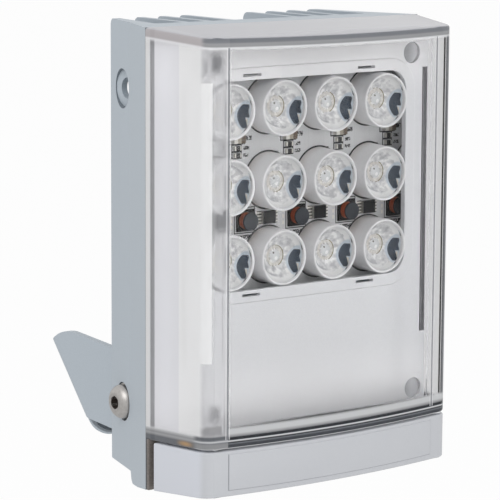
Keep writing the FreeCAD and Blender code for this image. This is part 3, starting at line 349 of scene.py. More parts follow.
rubber = plain_finish("black_rubber", linear(30, 31, 33), linear(42, 43, 45), 0.6)
dress("cover_gasket", rubber)
dress("gland_seal", rubber)
silicone = plain_finish("thermal_silicone", linear(122, 138, 146), linear(134, 150, 157), 0.7)
dress("thermal_sheet", silicone)
dress("terminal_block", plain_finish("terminal_green", linear(44, 104, 72), linear(54, 118, 82), 0.4))
gland_black = plain_finish("gland_plastic", linear(44, 46, 49), linear(56, 58, 62), 0.45)
dress("gland_body", gland_black)
dress("gland_nut", gland_black)
dress("breather_vent", gland_black)


# Fasteners: stainless screws, washers and nuts, and the nylon washers between arm and wall.
# The tilt screws' hexagon sockets are darkened inside by painted shade.
SOCKET_R = 2.6
SOCKET_X = 54.0

steel, metal, place, x, y, z = new_material("stainless_steel")
scratch = noise(place, 0.8, 4.0)
from_pivot = (y - PIVOT[0]).distance(z - PIVOT[1])
# Painted shade inside the tilt screws' hexagon sockets: dark and less metallic.
socket_painted_shade = from_pivot.between(SOCKET_R + 0.15, SOCKET_R) * abs(x).between(SOCKET_X, SOCKET_X + 0.4)
colour = socket_painted_shade.blend(scratch.blend(linear(158, 155, 152), linear(196, 193, 190)), linear(66, 58, 54))
relief = relief_of(scratch, 0.12, 0.0002)
surface = metal.add("ShaderNodeBsdfPrincipled", inputs={
    "Base Color": colour, "Metallic": 0.95 - 0.7 * socket_painted_shade, "Roughness": 0.28 + 0.2 * scratch,
    "Normal": relief})
finish(metal, surface)
for name in ("pivot_screws", "plain_washers", "spring_washers", "arm_nuts", "bezel_screws",
             "cover_screws", "cap_screws"):
    dress(name, steel)
dress("friction_washers", plain_finish("nylon", linear(196, 196, 190), linear(206, 206, 200), 0.5))


# Circuit board: a light board with black printed rings round the lens holders, widened with
# painted shade where the holders stand on it, boxes round the small parts and unreadable short
# marks beside them. Bright pads flank the chips and inductors.
COLUMN_PITCH = 25.7
ROW_PITCH = 29.6
FIRST_COLUMN = -38.55
MIDDLE_ROW = 118.9
CHIP_Z = MIDDLE_ROW - ROW_PITCH / 2
CHIP_LEG_PITCH = 1.27
COIL_Z = CHIP_Z - 0.4
COIL_SHIFT = 14.4
STACK_SHIFT = 10.4
CHIP_PAD_X = 4.3
COIL_PAD_X = 6.3
EDGE_PART_SHIFT = 17.4
EDGE_PART_Z = 160.0
PRINTED_BOXES = (       # height, half width, half height and line of the boxes round small parts
    (136.0, 4.1, 2.3, 0.5),
    (132.4, 2.6, 1.5, 0.45),
    (129.6, 2.6, 1.5, 0.45))
PRINTED_MARKS = (       # left end, right end, height and half height of the marks beside them
    (4.6, 7.4, 136.0, 0.9),
    (3.3, 6.2, 132.2, 0.7),
    (3.3, 6.2, 129.4, 0.7),
    (-8.2, -5.0, 129.2, 0.7))


def from_grid(value, first, pitch):
    """Signed distance to the nearest of a row of evenly spaced places."""
    steps = (value - (first - 20.5 * pitch)) / pitch
    return (steps.maths("FRACT", steps) - 0.5) * pitch


def filled_box(dx, dz, half_x, half_z, soft=0.05):
    """1 inside a box, 0 outside."""
    within_x = abs(dx).between(half_x + soft, half_x - soft)
    return within_x * abs(dz).between(half_z + soft, half_z - soft)


def frame_round(dx, dz, half_x, half_z, line):
    """1 on the outline of a box, 0 elsewhere."""
    return filled_box(dx, dz, half_x, half_z) - filled_box(dx, dz, half_x - line, half_z - line)


board_print, card, place, x, _, z = new_material("board_print")
mottle = noise(place, 0.35, 3.0)
lx = from_grid(x, FIRST_COLUMN, COLUMN_PITCH)
lz = from_grid(z, MIDDLE_ROW, ROW_PITCH)
# Black rings round the cups: print, widened with painted shade at the cups' feet.
ring_print_and_shade = lx.distance(lz).band(11.1, 11.75, 0.06)
stack_x = from_grid(x, FIRST_COLUMN + STACK_SHIFT, COLUMN_PITCH)
coil_x = from_grid(x, FIRST_COLUMN + COIL_SHIFT, COLUMN_PITCH)
boxes = frame_round(coil_x, z - COIL_Z, 5.2, 5.2, 0.4)
for z0, half_x, half_z, line in PRINTED_BOXES:
    boxes = boxes.larger(frame_round(stack_x, z - z0, half_x, half_z, line))
speckle = noise(place, 1.9, 1.0)
strokes = speckle.between(0.43, 0.47)
marks = coil_x.band(-4.8, 3.2) * (z - COIL_Z + 6.6).band(-0.8, 0.8)
for left, right_end, z0, half_z in PRINTED_MARKS:
    marks = marks.larger(stack_x.band(left, right_end) * (z - z0).band(-half_z, half_z))
ink = ring_print_and_shade.larger(boxes).larger(marks * strokes)
edge_parts = abs(coil_x + EDGE_PART_SHIFT).between(1.9, 1.7) * (z - EDGE_PART_Z).between(-0.6, -0.4)
ink = ink.larger(edge_parts)
chip_x = from_grid(x, FIRST_COLUMN, COLUMN_PITCH)
pad_z = from_grid(z, CHIP_Z + CHIP_LEG_PITCH / 2, CHIP_LEG_PITCH)
pads = abs(abs(chip_x) - CHIP_PAD_X).between(1.0, 0.9) * abs(pad_z).between(0.42, 0.34)
pads = pads * abs(z - CHIP_Z).between(2.7, 2.5)
small_pads = abs(abs(coil_x) - COIL_PAD_X).between(0.55, 0.45)
small_pads = small_pads * abs(from_grid(z, COIL_Z, 2.4)).between(0.8, 0.7)
pads = pads.larger(small_pads * abs(z - COIL_Z).between(4.2, 4.0))
seams = abs(from_grid(x, 0.0, 7.9)).between(0.12, 0.05).larger(
    abs(from_grid(z, 3.0, 9.7)).between(0.12, 0.05)) * 0.25
tone = mottle.blend(linear(196, 197, 199), linear(212, 213, 214))
tone = seams.blend(tone, linear(160, 162, 166))
tone = pads.blend(tone, linear(226, 224, 218))
comb = abs(abs(chip_x) - 4.0).between(1.2, 1.1) * abs(pad_z).between(0.30, 0.38)
comb = comb * abs(z - CHIP_Z).between(2.7, 2.6)
tone = (comb * 0.95).blend(tone, linear(40, 39, 39))
tone = ink.blend(tone, linear(14, 14, 17))
surface = card.add("ShaderNodeBsdfPrincipled", inputs={
    "Base Color": tone, "Roughness": 0.45, "Metallic": pads * 0.5})
finish(card, surface)
dress("circuit_board", board_print)


# Small parts on the board: black chips with bright legs, resistors and capacitors with bright
# ends, and the light-emitting diodes with their yellow coating.
STACK_SPLIT_Z = 134.0       # one large part lies above this height and two small ones below

chip_black, chip, place, x, *_ = new_material("chip_black")
mottle = noise(place, 1.5, 2.0)
leg = abs(from_grid(x, FIRST_COLUMN, COLUMN_PITCH)).between(3.05, 3.15)
tone = leg.blend(mottle.blend(linear(14, 14, 17), linear(26, 27, 31)), linear(222, 220, 214))
surface = chip.add("ShaderNodeBsdfPrincipled", inputs={
    "Base Color": tone, "Roughness": 0.42, "Metallic": leg * 0.8, "Specular IOR Level": 0.2})
finish(chip, surface)
dress("driver_chips", chip_black)

small_part, small, place, x, _, z = new_material("small_part")
mottle = noise(place, 1.8, 2.0)
part_x = from_grid(x, FIRST_COLUMN + STACK_SHIFT, COLUMN_PITCH)
upper = z.between(STACK_SPLIT_Z - 0.2, STACK_SPLIT_Z + 0.2)
bright_end = (1.0 - upper) * abs(part_x).between(0.95, 1.05) + upper * part_x.between(-1.0, -1.2)
dark_end = upper * part_x.between(0.6, 0.9)
tone = mottle.blend(linear(150, 142, 128), linear(170, 162, 148))
tone = (1.0 - upper).blend(tone, linear(40, 39, 40))
tone = dark_end.blend(tone, linear(98, 84, 72))
tone = bright_end.blend(tone, linear(216, 214, 208))
surface = small.add("ShaderNodeBsdfPrincipled", inputs={
    "Base Color": tone, "Roughness": 0.4, "Metallic": bright_end * 0.6})
finish(small, surface)
dress("resistor_stacks", small_part)
dress("light_emitters", plain_finish("diode", linear(214, 196, 128), linear(226, 208, 142), 0.35))


# Inductors: wound ferrite cores on a square foot that is soldered to the board. A copper winding
# shows between the foot and the slate-coloured disc.
COLUMNS = tuple(FIRST_COLUMN + n * COLUMN_PITCH for n in range(4))
BOARD_FRONT = 27.0
FOOT_HALF = 4.3
FOOT_FRONT = BOARD_FRONT - 0.9
DISC_REAR = BOARD_FRONT - 3.7
DISC_FRONT = BOARD_FRONT - 4.6
DISC_R = 3.6
WINDING_R = 3.3
CORE_R = 0.5
WINDING_PROFILE = (
    (CORE_R, FOOT_FRONT), (WINDING_R, FOOT_FRONT), (WINDING_R, DISC_REAR), (CORE_R, DISC_REAR),
    (CORE_R, FOOT_FRONT))
DISC_PROFILE = (
    (0, DISC_REAR), (DISC_R - 0.15, DISC_REAR), (DISC_R, DISC_REAR - 0.15),
    (DISC_R, DISC_FRONT + 0.2), (DISC_R - 0.2, DISC_FRONT), (0, DISC_FRONT))
SHARP_ANGLE = math.radians(35)


def make_piece(name, shape, body, *materials, slot, replaces=()):
    """Turn a finished shape into a piece of the lamp, smooth but for its sharp edges."""
    mesh = bpy.data.meshes.new(name)
    shape.to_mesh(mesh)
    shape.free()
    for face in mesh.polygons:
        face.use_smooth = True
    mesh.set_sharp_from_angle(angle=SHARP_ANGLE)
    for material in materials:
        mesh.materials.append(material)
    piece = bpy.data.objects.new(name, mesh)
    bpy.context.collection.objects.link(piece)
    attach(piece, body)
    if replaces:
        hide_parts(*replaces)


def turned(profile, x, z, steps=48):
    """A solid of revolution about a line from front to rear; the profile is radius and depth."""
    turned_shape = bmesh.new()
    points = [turned_shape.verts.new(at(x + radius, y, z)) for radius, y in profile]
    runs = [turned_shape.edges.new(pair) for pair in zip(points, points[1:])]
    bmesh.ops.spin(turned_shape, geom=points + runs, cent=at(x, 0, z), axis=(0, 1, 0), dvec=(0, 0, 0),
                   angle=2 * math.pi, steps=steps, use_merge=True, use_normal_flip=False,
                   use_duplicate=False)
    bmesh.ops.remove_doubles(turned_shape, verts=turned_shape.verts, dist=1e-6)
    bmesh.ops.recalc_face_normals(turned_shape, faces=turned_shape.faces)
    return turned_shape


def block(low, high, edge):
    """A box between two corners with rounded edges."""
    box_shape = bmesh.new()
    bmesh.ops.create_cube(box_shape, size=1)
    bmesh.ops.scale(box_shape, vec=(high - low), verts=box_shape.verts)
    bmesh.ops.translate(box_shape, vec=(low + high) / 2, verts=box_shape.verts)
    bmesh.ops.bevel(box_shape, geom=list(box_shape.edges), offset=edge / 1000, offset_type="OFFSET",
                    segments=3, profile=0.5, affect="EDGES", material=-1)
    return box_shape


ferrite = plain_finish("ferrite_slate", linear(44, 47, 52), linear(66, 70, 76), 0.5, 0.2)
ferrite_foot = plain_finish("ferrite_foot", linear(18, 17, 18), linear(34, 32, 32), 0.55, 0.2)

winding, wire, _, _, y, _ = new_material("copper_winding")
turns = wire.maths("SINE", y * 14.0)
tone = turns.between(-0.6, 0.6).blend(linear(150, 62, 30), linear(214, 104, 58))
relief = relief_of(turns, 0.5, 0.0002)
surface = wire.add("ShaderNodeBsdfPrincipled", inputs={
    "Base Color": tone, "Roughness": 0.3, "Metallic": 0.3, "Normal": relief})
finish(wire, surface)

for number, column_x in enumerate(COLUMNS, start=1):
    x0 = column_x + COIL_SHIFT
    foot = block(at(x0 - FOOT_HALF, FOOT_FRONT, COIL_Z - FOOT_HALF),
                 at(x0 + FOOT_HALF, BOARD_FRONT, COIL_Z + FOOT_HALF), 0.15)
    coil = turned(WINDING_PROFILE, x0, COIL_Z, steps=32)
    disc = turned(DISC_PROFILE, x0, COIL_Z, steps=32)
    for part, shape, material in (
            ("foot", foot, ferrite_foot), ("winding", coil, winding), ("disc", disc, ferrite)):
        make_piece("inductor_%s_%d" % (part, number), shape, "lamp", material,
                   replaces=["inductors"], slot="ferrite")


# Lens holders: twelve white moulded cups on the board with slightly rough rims, darkened towards
# the board by painted shade. Profiles hold the radius and depth of each corner.
ROWS = (MIDDLE_ROW + ROW_PITCH, MIDDLE_ROW, MIDDLE_ROW - ROW_PITCH)
CUP_PROFILE = (
    (4.5, BOARD_FRONT), (11.05, BOARD_FRONT), (11.05, 15.9), (10.9, 15.55), (10.65, 15.4),
    (10.35, 15.45), (10.05, 15.75), (10.0, 16.2), (10.0, 25.6), (4.5, 25.6), (4.5, BOARD_FRONT))

holder_white, cup, place, _, y, _ = new_material("holder_white")
mottle = noise(place, 0.7, 3.0)
tone = mottle.blend(linear(240, 240, 242), linear(250, 250, 251))
# Painted shade: the cups turn darker and warmer towards the board.
tone = (y.between(21.0, 27.0) * 0.7).blend(tone, linear(222, 216, 212))
relief = relief_of(mottle, 0.2, 0.0003)
surface = cup.add("ShaderNodeBsdfPrincipled", inputs={
    "Base Color": tone, "Roughness": 0.34 + 0.1 * mottle, "Normal": relief})
finish(cup, surface)


# Lenses: clear collimators in the cups. The front face is thin and clear. The bowl behind it lies
# where the lens makes its flank seem to lie, and carries painted reflections of the cup in silvery
# streaks with painted highlights, a painted image of the emitter as a pale eye with a painted glint,
# and painted darkness for the dark opening on the right.
PLASTIC_IOR = 1.45
FLANK_FRONT = 16.35
FLANK_STRETCH = 1.42
FACE_PROFILE = ((0, 15.95), (5, 16.0), (9.9, 16.1), (9.9, 16.9), (0, 16.9))
BOWL_PROFILE = (
    (9.9, 16.95), (9.4, 17.9), (8.6, 18.85), (7.5, 19.9), (6.0, 20.95), (4.4, 21.85),
    (4.1, 22.1), (2.7, 22.2), (2.5, 22.0), (1.9, 21.5), (1.0, 21.15), (0, 21.05))


def bending_plastic(builder, mirroring):
    """Clear plastic that bends what is seen through it; mirroring weighs its reflections."""
    facing = builder.add("ShaderNodeFresnel", inputs={"IOR": PLASTIC_IOR})
    bending = builder.add("ShaderNodeBsdfRefraction", inputs={
        "Color": WHITE, "Roughness": 0.0, "IOR": PLASTIC_IOR})
    shine = builder.add("ShaderNodeBsdfGlossy", inputs={"Color": WHITE, "Roughness": 0.02})
    return builder.add("ShaderNodeMixShader", inputs={0: facing * mirroring, 1: bending, 2: shine})


thin_clear, thin, place, *_ = new_material("thin_clear")
ripple = noise(place, 0.05, 2.0)
relief = relief_of(ripple, 0.05, 0.001)
facing = thin.add("ShaderNodeFresnel", inputs={"IOR": 1.2})
passing = thin.add("ShaderNodeBsdfTransparent", inputs={"Color": WHITE})
shine = thin.add("ShaderNodeBsdfGlossy", inputs={"Color": WHITE, "Roughness": 0.04, "Normal": relief})
sheet = thin.add("ShaderNodeMixShader", inputs={0: facing, 1: passing, 2: shine})
finish(thin, sheet)

lens_flank, flank, place, x, y, z = new_material("lens_flank")
lx = from_grid(x, FIRST_COLUMN, COLUMN_PITCH)
lz = from_grid(z, MIDDLE_ROW, ROW_PITCH)
depth = (y - FLANK_FRONT) * FLANK_STRETCH
radius = lx.distance(lz)
turn = flank.maths("ARCTAN2", lz, lx)
swirl = flank.add("ShaderNodeCombineXYZ", inputs={0: turn * 1.3, 1: radius * 0.22, 2: x * 0.03 + z * 0.05})
streak = noise(swirl, 2.4, 1.5)
# Painted reflections of the cup: silvery streaks, a darker arc and a painted highlight on the left.
painted_reflection = flank.add("ShaderNodeValToRGB", {"stops": [
    (0.34, linear(196, 196, 199)), (0.45, linear(219, 219, 221)), (0.55, linear(231, 231, 232)),
    (0.64, linear(255, 255, 255))]}, {"Fac": streak})
left_arc = radius.band(7.3, 7.8, 0.25) * lx.between(0.5, -2.0)
painted_reflection = (left_arc * 0.7).blend(painted_reflection, linear(176, 177, 182))
painted_left_highlight = radius.band(8.0, 8.9, 0.3) * lx.between(2.0, -1.0) * lz.between(2.0, -2.0)
painted_reflection = painted_left_highlight.blend(painted_reflection, linear(255, 255, 255))
rough = noise(place, 0.9, 3.0)
flange = (radius + rough * 1.6).between(9.2, 9.6)
painted_reflection = (flange * 0.85).blend(painted_reflection, linear(252, 252, 252))
# A painted image of the emitter seen through the lens: a pale eye with dark edges, a dark dot and a painted
# glint.
iris = radius.band(2.9, 4.0, 0.15)
look = (iris * 0.5).blend(painted_reflection, linear(206, 198, 184))
dots = noise(place, 1.3, 1.0)
lash = radius.band(4.05, 4.35, 0.08) * lx.between(1.4, 2.0).larger(dots.between(0.52, 0.57))
lash = lash.larger(radius.band(2.55, 2.8, 0.08) * dots.between(0.46, 0.52) * 0.6)
look = lash.blend(look, linear(138, 128, 96))
pupil = radius.between(2.4, 2.1)
look = pupil.blend(look, linear(218, 220, 221))
glint = ((lx - 0.2) * (lx - 0.2) + (lz + 0.9) * (lz + 0.9)).between(0.9, 0.3)
look = glint.blend(look, linear(255, 255, 255))
spot = ((lx + 1.0) * (lx + 1.0) + (lz - 1.3) * (lz - 1.3)).between(0.16, 0.09)
look = spot.blend(look, linear(72, 66, 58))
# Painted darkness: the dark opening on the right, with a bluish halo and a beige edge.
across = lx - 0.75 * depth
low_z = lz + 1.4
bend = across - 0.16 * (low_z + 0.8) * (low_z + 0.8)
halo = bend.between(-1.2, 0.6) * abs(low_z + 0.4).between(6.4, 5.0) * depth.between(0.6, 1.4)
look = (halo * 0.75).blend(look, linear(190, 204, 217))
painted_dark_patch = bend.between(1.0, 1.4) * low_z.between(3.85, 3.5) * low_z.between(-5.6, -5.2)
bite = flank.maths("SINE", low_z * 1.7) * 0.3
painted_dark_patch = painted_dark_patch * (across + bite).between(8.1, 7.8)
low_right = low_z.between(-1.2, -1.7) * (across + 0.5 * low_z).between(4.9, 5.3)
painted_dark_patch = painted_dark_patch * (1.0 - low_right)
beige = (across + 0.5 * low_z).between(3.2, 3.6) * low_z.band(-5.4, -1.9, 0.2) * across.between(7.6, 7.2)
look = (beige * 0.8).blend(look, linear(226, 219, 204))
look = painted_dark_patch.blend(look, (dots * 0.6).blend(linear(38, 48, 60), linear(54, 76, 102)))
relief = relief_of(streak, 0.35, 0.001)
surface = flank.add("ShaderNodeBsdfPrincipled", inputs={
    "Base Color": look, "Roughness": 0.3, "Coat Weight": 0.5 - 0.5 * painted_dark_patch, "Coat Roughness": 0.08,
    "Normal": relief})
finish(flank, surface)

for row, z0 in enumerate(ROWS, start=1):
    for column, x0 in enumerate(COLUMNS, start=1):
        key = "%d_%d" % (row, column)
        make_piece("lens_cup_" + key, turned(CUP_PROFILE, x0, z0), "lamp", holder_white,
                   replaces=["lens_holder_" + key], slot="holder_white")
        make_piece("lens_face_" + key, turned(FACE_PROFILE, x0, z0), "lamp", thin_clear,
                   replaces=["lens_" + key], slot="lens_clear")
        make_piece("lens_bowl_" + key, turned(BOWL_PROFILE, x0, z0), "lamp", lens_flank,
                   replaces=["lens_" + key], slot="lens_clear")


# Bezel: a white moulded tray over the board, screwed down in its four sockets. Painted light lifts
# it near its lower and upper ends, and painted shade darkens the walls of its tall side slots and
# the side wall behind them. A small grey plug closes each socket over its screw, darker by painted
# shade on its side towards the lamp's middle.
SIDE_SPREAD = 0.23203       # how fast the lamp's sides spread on the way to the joint
SIDES = (("left", -1), ("right", 1))
SLOT_NEAR = 58.6
SLOT_FAR = 61.4
SLOT_LOW = 51.9
SLOT_HIGH = 161.1
SOCKETS = (("top", 52.9, 167.0), ("low", 55.6, 28.5))
PLUG_PROFILE = ((0, 18.0), (4.0, 18.0), (4.28, 18.25), (4.28, 19.6), (0, 19.6), (0, 18.0))

bezel_white, tray, place, x, y, z = new_material("bezel_white")
mottle = noise(place, 1.1, 2.0)
tone = mottle.blend(linear(229, 230, 233), linear(235, 236, 239))
# Painted light near the bezel's lower and upper ends.
painted_light_near_ends = z.between(56.0, 26.0).larger(z.between(148.0, 166.0))
tone = painted_light_near_ends.blend(tone, linear(253, 253, 255))
# Painted shade on the side slots' walls and on the side wall behind them.
slot_wall_painted_shade = abs(x).band(SLOT_NEAR, SLOT_FAR, 0.05) * z.band(SLOT_LOW, SLOT_HIGH)
slot_wall_painted_shade = slot_wall_painted_shade * y.between(16.85, 17.0)
painted_shade_behind_slot = (abs(x) - SIDE_SPREAD * y).between(57.5, 57.1) * z.band(46.0, 167.0, 1.0)
tone = slot_wall_painted_shade.larger(painted_shade_behind_slot * y.between(18.65, 18.8)).blend(tone, linear(196, 196, 199))
relief = relief_of(mottle, 0.08, 0.0001)
surface = tray.add("ShaderNodeBsdfPrincipled", inputs={
    "Base Color": tone, "Roughness": 0.42 + 0.1 * mottle, "Normal": relief})
finish(tray, surface)
dress("bezel", bezel_white)

plug_grey, button, place, x, *_ = new_material("plug_grey")
mottle = noise(place, 1.1, 2.0)
# Painted shade: each plug is darker on its side towards the lamp's middle.
tone = (abs(x).between(50.0, 57.0) + mottle * 0.1).blend(linear(160, 161, 164), linear(216, 217, 220))
surface = button.add("ShaderNodeBsdfPrincipled", inputs={"Base Color": tone, "Roughness": 0.45})
finish(button, surface)

for side_name, side in SIDES:
    for level, x0, z0 in SOCKETS:
        plug = turned(PLUG_PROFILE, side * x0, z0, steps=32)
        make_piece("screw_plug_%s_%s" % (level, side_name), plug, "lamp", plug_grey, slot="white_bezel")


# Front cover: one clear moulding with a bowed front and spreading sides, closed just above the cap
# and clamped by its rim. Its middle is polished clear and the rest frosted; the thick top and
# bottom walls carry painted greys for their reflections, shade and edge highlights, and painted
# dark lines and highlights stand where the rails are.
FRONT_RADIUS = 331.08
FRONT_BULGE = 5.8
FRONT_HALF = 61.7
CORNER_R = 6.0
CORNER_OFFSET = 0.000652    # a bevel's offset in metres, for each millimetre of corner radius
WALL_T = 3.0
TOP_WALL_T = 3.6
TOP_RISE = 2.4
BOTTOM_DROP = 1.4
TOP_SLOPE = TOP_RISE / JOINT
BOTTOM_SLOPE = -BOTTOM_DROP / JOINT
CAP_TOP = 18.3
COVER_LOW = 19.1
COVER_TOP = 180.0
INSERT_HALF = 51.8
RIM_HALF = 68.6
RIM_T = 1.5
RAIL_X = 52.1
RAIL_T = 1.2
LINE_X = 52.22
FROST_RIGHT = 60.4
FROST_DEPTH = 3.0
PANEL_X = -58.95
PANEL_LOW = 53.6
PANEL_HIGH = 162.8
DARK_SPOTS = (      # across, up, half width, half height and strength of what shines through
    (-57.3, 170.2, 4.4, 7.5, 0.9),
    (-57.6, 33.5, 3.8, 5.4, 0.75),
    (-54.7, 109.2, 3.9, 6.4, 0.85),
    (-54.7, 137.6, 3.6, 6.0, 0.35))


def bowed_block(shape, front_in, side_in, corner, low, high, rear, edge=0.0):
    """Add a block with the lamp's plan, drawn in at front and sides, with its rear face left open."""
    radius = FRONT_RADIUS - front_in
    middle = FRONT_RADIUS - FRONT_BULGE
    x = FRONT_HALF - side_in
    # The front's end and the side's spread depend on each other, and settle in a few rounds.
    for _ in range(8):
        x = FRONT_HALF - side_in + SIDE_SPREAD * (middle - math.sqrt(radius ** 2 - x ** 2))
    known = set(shape.verts)
    first = shape.verts.new(at(-x, middle - math.sqrt(radius ** 2 - x ** 2), low))
    bmesh.ops.spin(shape, geom=[first], cent=at(0, middle, low), axis=(0, 0, 1), dvec=(0, 0, 0),
                   angle=2 * math.asin(x / radius), steps=32, use_merge=False,
                   use_normal_flip=False, use_duplicate=False)
    rim = sorted((v for v in shape.verts if v not in known), key=lambda v: v.co.x)
    rear_half = FRONT_HALF - side_in + SIDE_SPREAD * rear
    rim.append(shape.verts.new(at(rear_half, rear, low)))
    rim.append(shape.verts.new(at(-rear_half, rear, low)))
    base = shape.faces.new(rim)
    grown = bmesh.ops.extrude_face_region(shape, geom=[base])["geom"]
    raised = [g for g in grown if isinstance(g, bmesh.types.BMVert)]
    bmesh.ops.translate(shape, verts=raised, vec=(0, 0, (high - low) / 1000))
    # Only the lamp's own underside and top slope. The seam between cap and cover is level.
    for v in rim:
        v.co.z += BOTTOM_SLOPE * (v.co.y - FRONT_EDGE.y) if low < CAP_TOP / 2 else 0
    for v in raised:
        v.co.z += TOP_SLOPE * (v.co.y - FRONT_EDGE.y) if high > COVER_TOP / 2 else 0
    new_verts = set(rim) | set(raised)
    corners = [e for e in shape.edges
               if e.verts[0] in new_verts and e.verts[1] in new_verts
               and abs(e.verts[0].co.z - e.verts[1].co.z) > 0.005
               and abs(abs(e.verts[0].co.x) * 1000 - x) < 0.01]
    bmesh.ops.bevel(shape, geom=corners, offset=corner * CORNER_OFFSET, offset_type="OFFSET", segments=8,
                    profile=0.5, affect="EDGES", material=-1)
    rear_y = FRONT_EDGE.y + rear / 1000
    if edge:
        shape.normal_update()
        turning = [e for e in shape.edges if e.verts[0] not in known and e.verts[1] not in known
                   and min(v.co.y for v in e.verts) < rear_y - 1e-5
                   and len(e.link_faces) == 2 and sum(abs(f.normal.z) > 0.9 for f in e.link_faces) == 1]
        bmesh.ops.bevel(shape, geom=turning, offset=edge / 1000, offset_type="OFFSET", segments=4,
                        profile=0.5, affect="EDGES", material=-1)
    new_faces = [f for f in shape.faces if all(v not in known for v in f.verts)]
    rear_face = [f for f in new_faces if all(abs(v.co.y - rear_y) < 1e-6 for v in f.verts)]
    loop = list(rear_face[0].edges)
    bmesh.ops.delete(shape, geom=rear_face, context="FACES_ONLY")
    return loop


def close_rear(shape, outer, inner):
    """Join the two rear rims, each point of the outer to the nearest corner of the inner."""
    inner_corners = [v for e in inner for v in e.verts]
    for edge in outer:
        first, second = edge.verts
        nearest = [min(inner_corners, key=lambda v: (v.co - end.co).length) for end in (second, first)]
        shape.faces.new(list(dict.fromkeys([first, second, *nearest])))
    bmesh.ops.recalc_face_normals(shape, faces=shape.faces)


def soft_spot(x, z, x0, z0, half_x, half_z, strength):
    """The strength in the middle of a blurred spot, 0 outside it."""
    within_x = abs(x - x0).between(half_x, half_x * 0.2)
    return within_x * abs(z - z0).between(half_z, half_z * 0.2) * strength


def greys(value, span, *stops):
    """A ramp of greys over the span; each stop is a place and a screen value, a little cool if dark."""
    return value.add("ShaderNodeValToRGB", {"stops": [
        (place / span, linear(v, v + (1 if v > 120 else 3), v + (3 if v > 120 else 8)))
        for place, v in stops]}, {"Fac": value / span})


clear_cover, clear, place, x, y, z = new_material("clear_cover")
lift = clear.add("ShaderNodeSeparateXYZ", inputs={
    0: clear.add("ShaderNodeNewGeometry", output="Normal")}, output=2)
frosting = x.between(-INSERT_HALF, -INSERT_HALF - 0.3).larger(x.between(FROST_RIGHT, FROST_RIGHT + 0.3))
frosting = frosting.larger(y.between(FROST_DEPTH, FROST_DEPTH + 0.4))
grain = noise(place, 1.5, 2.0)
relief = relief_of(grain, 0.05, 0.0001)

passing = clear.add("ShaderNodeBsdfTransparent", inputs={"Color": WHITE})
polished = bending_plastic(clear, 0.2)

# The frosted zones: a pale veil, denser on the tall panel at the left, with painted dark spots on
# the left corner where the shaded sockets and dark parts of the board show through.
veil_tone = y.band(13.6, 28.4, 0.4).blend(linear(255, 255, 255), linear(240, 240, 244))
panel = x.between(PANEL_X + 0.15, PANEL_X - 0.15) * z.band(PANEL_LOW, PANEL_HIGH, 0.2)
veil_tone = (y.between(3.5, 1.5) * (1.0 - panel)).blend(veil_tone, linear(222, 222, 225))
veil_tone = (abs(x).between(61.0, 62.5) * y.band(26.0, 28.2, 0.3)).blend(veil_tone, linear(150, 150, 153))
# Painted shade: dark spots where the shaded sockets and dark board parts show through.
spots = soft_spot(x, z, *DARK_SPOTS[0])
for dark_spot in DARK_SPOTS[1:]:
    spots = spots.larger(soft_spot(x, z, *dark_spot))
spots = spots * y.between(4.0, 2.0) * (1.0 - panel)
veil_tone = spots.blend(veil_tone, linear(74, 76, 80))
haze = clear.add("ShaderNodeBsdfPrincipled", inputs={
    "Base Color": veil_tone, "Roughness": 0.3, "Normal": relief})
through = clear.add("ShaderNodeBsdfTranslucent", inputs={"Color": linear(250, 250, 252)})
milk = clear.add("ShaderNodeMixShader", inputs={0: 0.35, 1: haze, 2: through})
rim_zone = abs(x).between(61.0, 62.5) * y.between(25.5, 27.5)
side_zone = x.between(-59.5, -61.0) * y.between(1.0, 3.5)
dense = (0.5 + 0.42 * side_zone).larger(rim_zone * 0.9).larger(spots).larger(panel * 0.9)
frosted = clear.add("ShaderNodeMixShader", inputs={0: dense, 1: passing, 2: milk})
pane = clear.add("ShaderNodeMixShader", inputs={0: frosting, 1: polished, 2: frosted})

# The thick walls at top and bottom: painted greys by the distance from the upper and the lower
# edge, for their inner reflections, the shaded gaps behind them and the highlights on their edges.
# On the front the lower greys reach up over the shaded gap under the bezel in a light grey.
from_top = COVER_TOP + TOP_SLOPE * y - z
from_low = z - COVER_LOW
low_front = greys(from_low, 12.0, (0.0, 240), (0.35, 225), (0.6, 60), (1.4, 56), (1.8, 74),
                  (2.2, 112), (2.5, 46), (2.7, 40), (2.95, 140), (3.3, 224), (3.55, 110), (3.75, 36),
                  (4.6, 40), (4.95, 130), (5.6, 166), (6.2, 192), (11.0, 196))
low_side = greys(from_low, 12.0, (0.0, 176), (0.45, 92), (2.4, 90), (2.9, 128), (3.4, 150),
                 (4.2, 134), (5.0, 170), (6.0, 216), (9.5, 226))
low_corner = greys(from_low, 12.0, (0.0, 206), (0.35, 190), (0.8, 134), (2.3, 128), (2.8, 110),
                   (3.4, 196), (3.8, 120), (4.3, 84), (5.1, 88), (5.8, 170), (6.3, 205), (9.5, 214))
frost_low = y.between(4.0, 7.0).blend(low_corner, low_side)
# A painted brown glint low on the left side.
glint = y.band(7.5, 13.0, 2.5) * from_low.band(0.7, 2.4, 0.8) * x.between(0.0, -1.0)
frost_low = (glint * 0.85).blend(frost_low, linear(176, 138, 88))
low_paint = frosting.blend(low_front, frost_low)
top_front = greys(from_top, 6.0, (0.0, 104), (1.8, 116), (2.3, 142), (3.4, 140), (3.75, 196),
                  (4.2, 232), (4.8, 214), (5.6, 204))
top_side = clear.add("ShaderNodeValToRGB", {"stops": [
    (0.0, linear(172, 167, 169)), (0.52, linear(168, 163, 165)), (0.62, linear(214, 213, 216)),
    (0.9, linear(222, 222, 225))]}, {"Fac": from_top / 6.0})
top_paint = y.between(1.2, 3.6).blend(top_front, top_side)
paint_tone = z.between(89.0, 91.0).blend(low_paint, top_paint)
paint_tone = lift.between(0.5, 0.9).blend(paint_tone, linear(184, 184, 189))
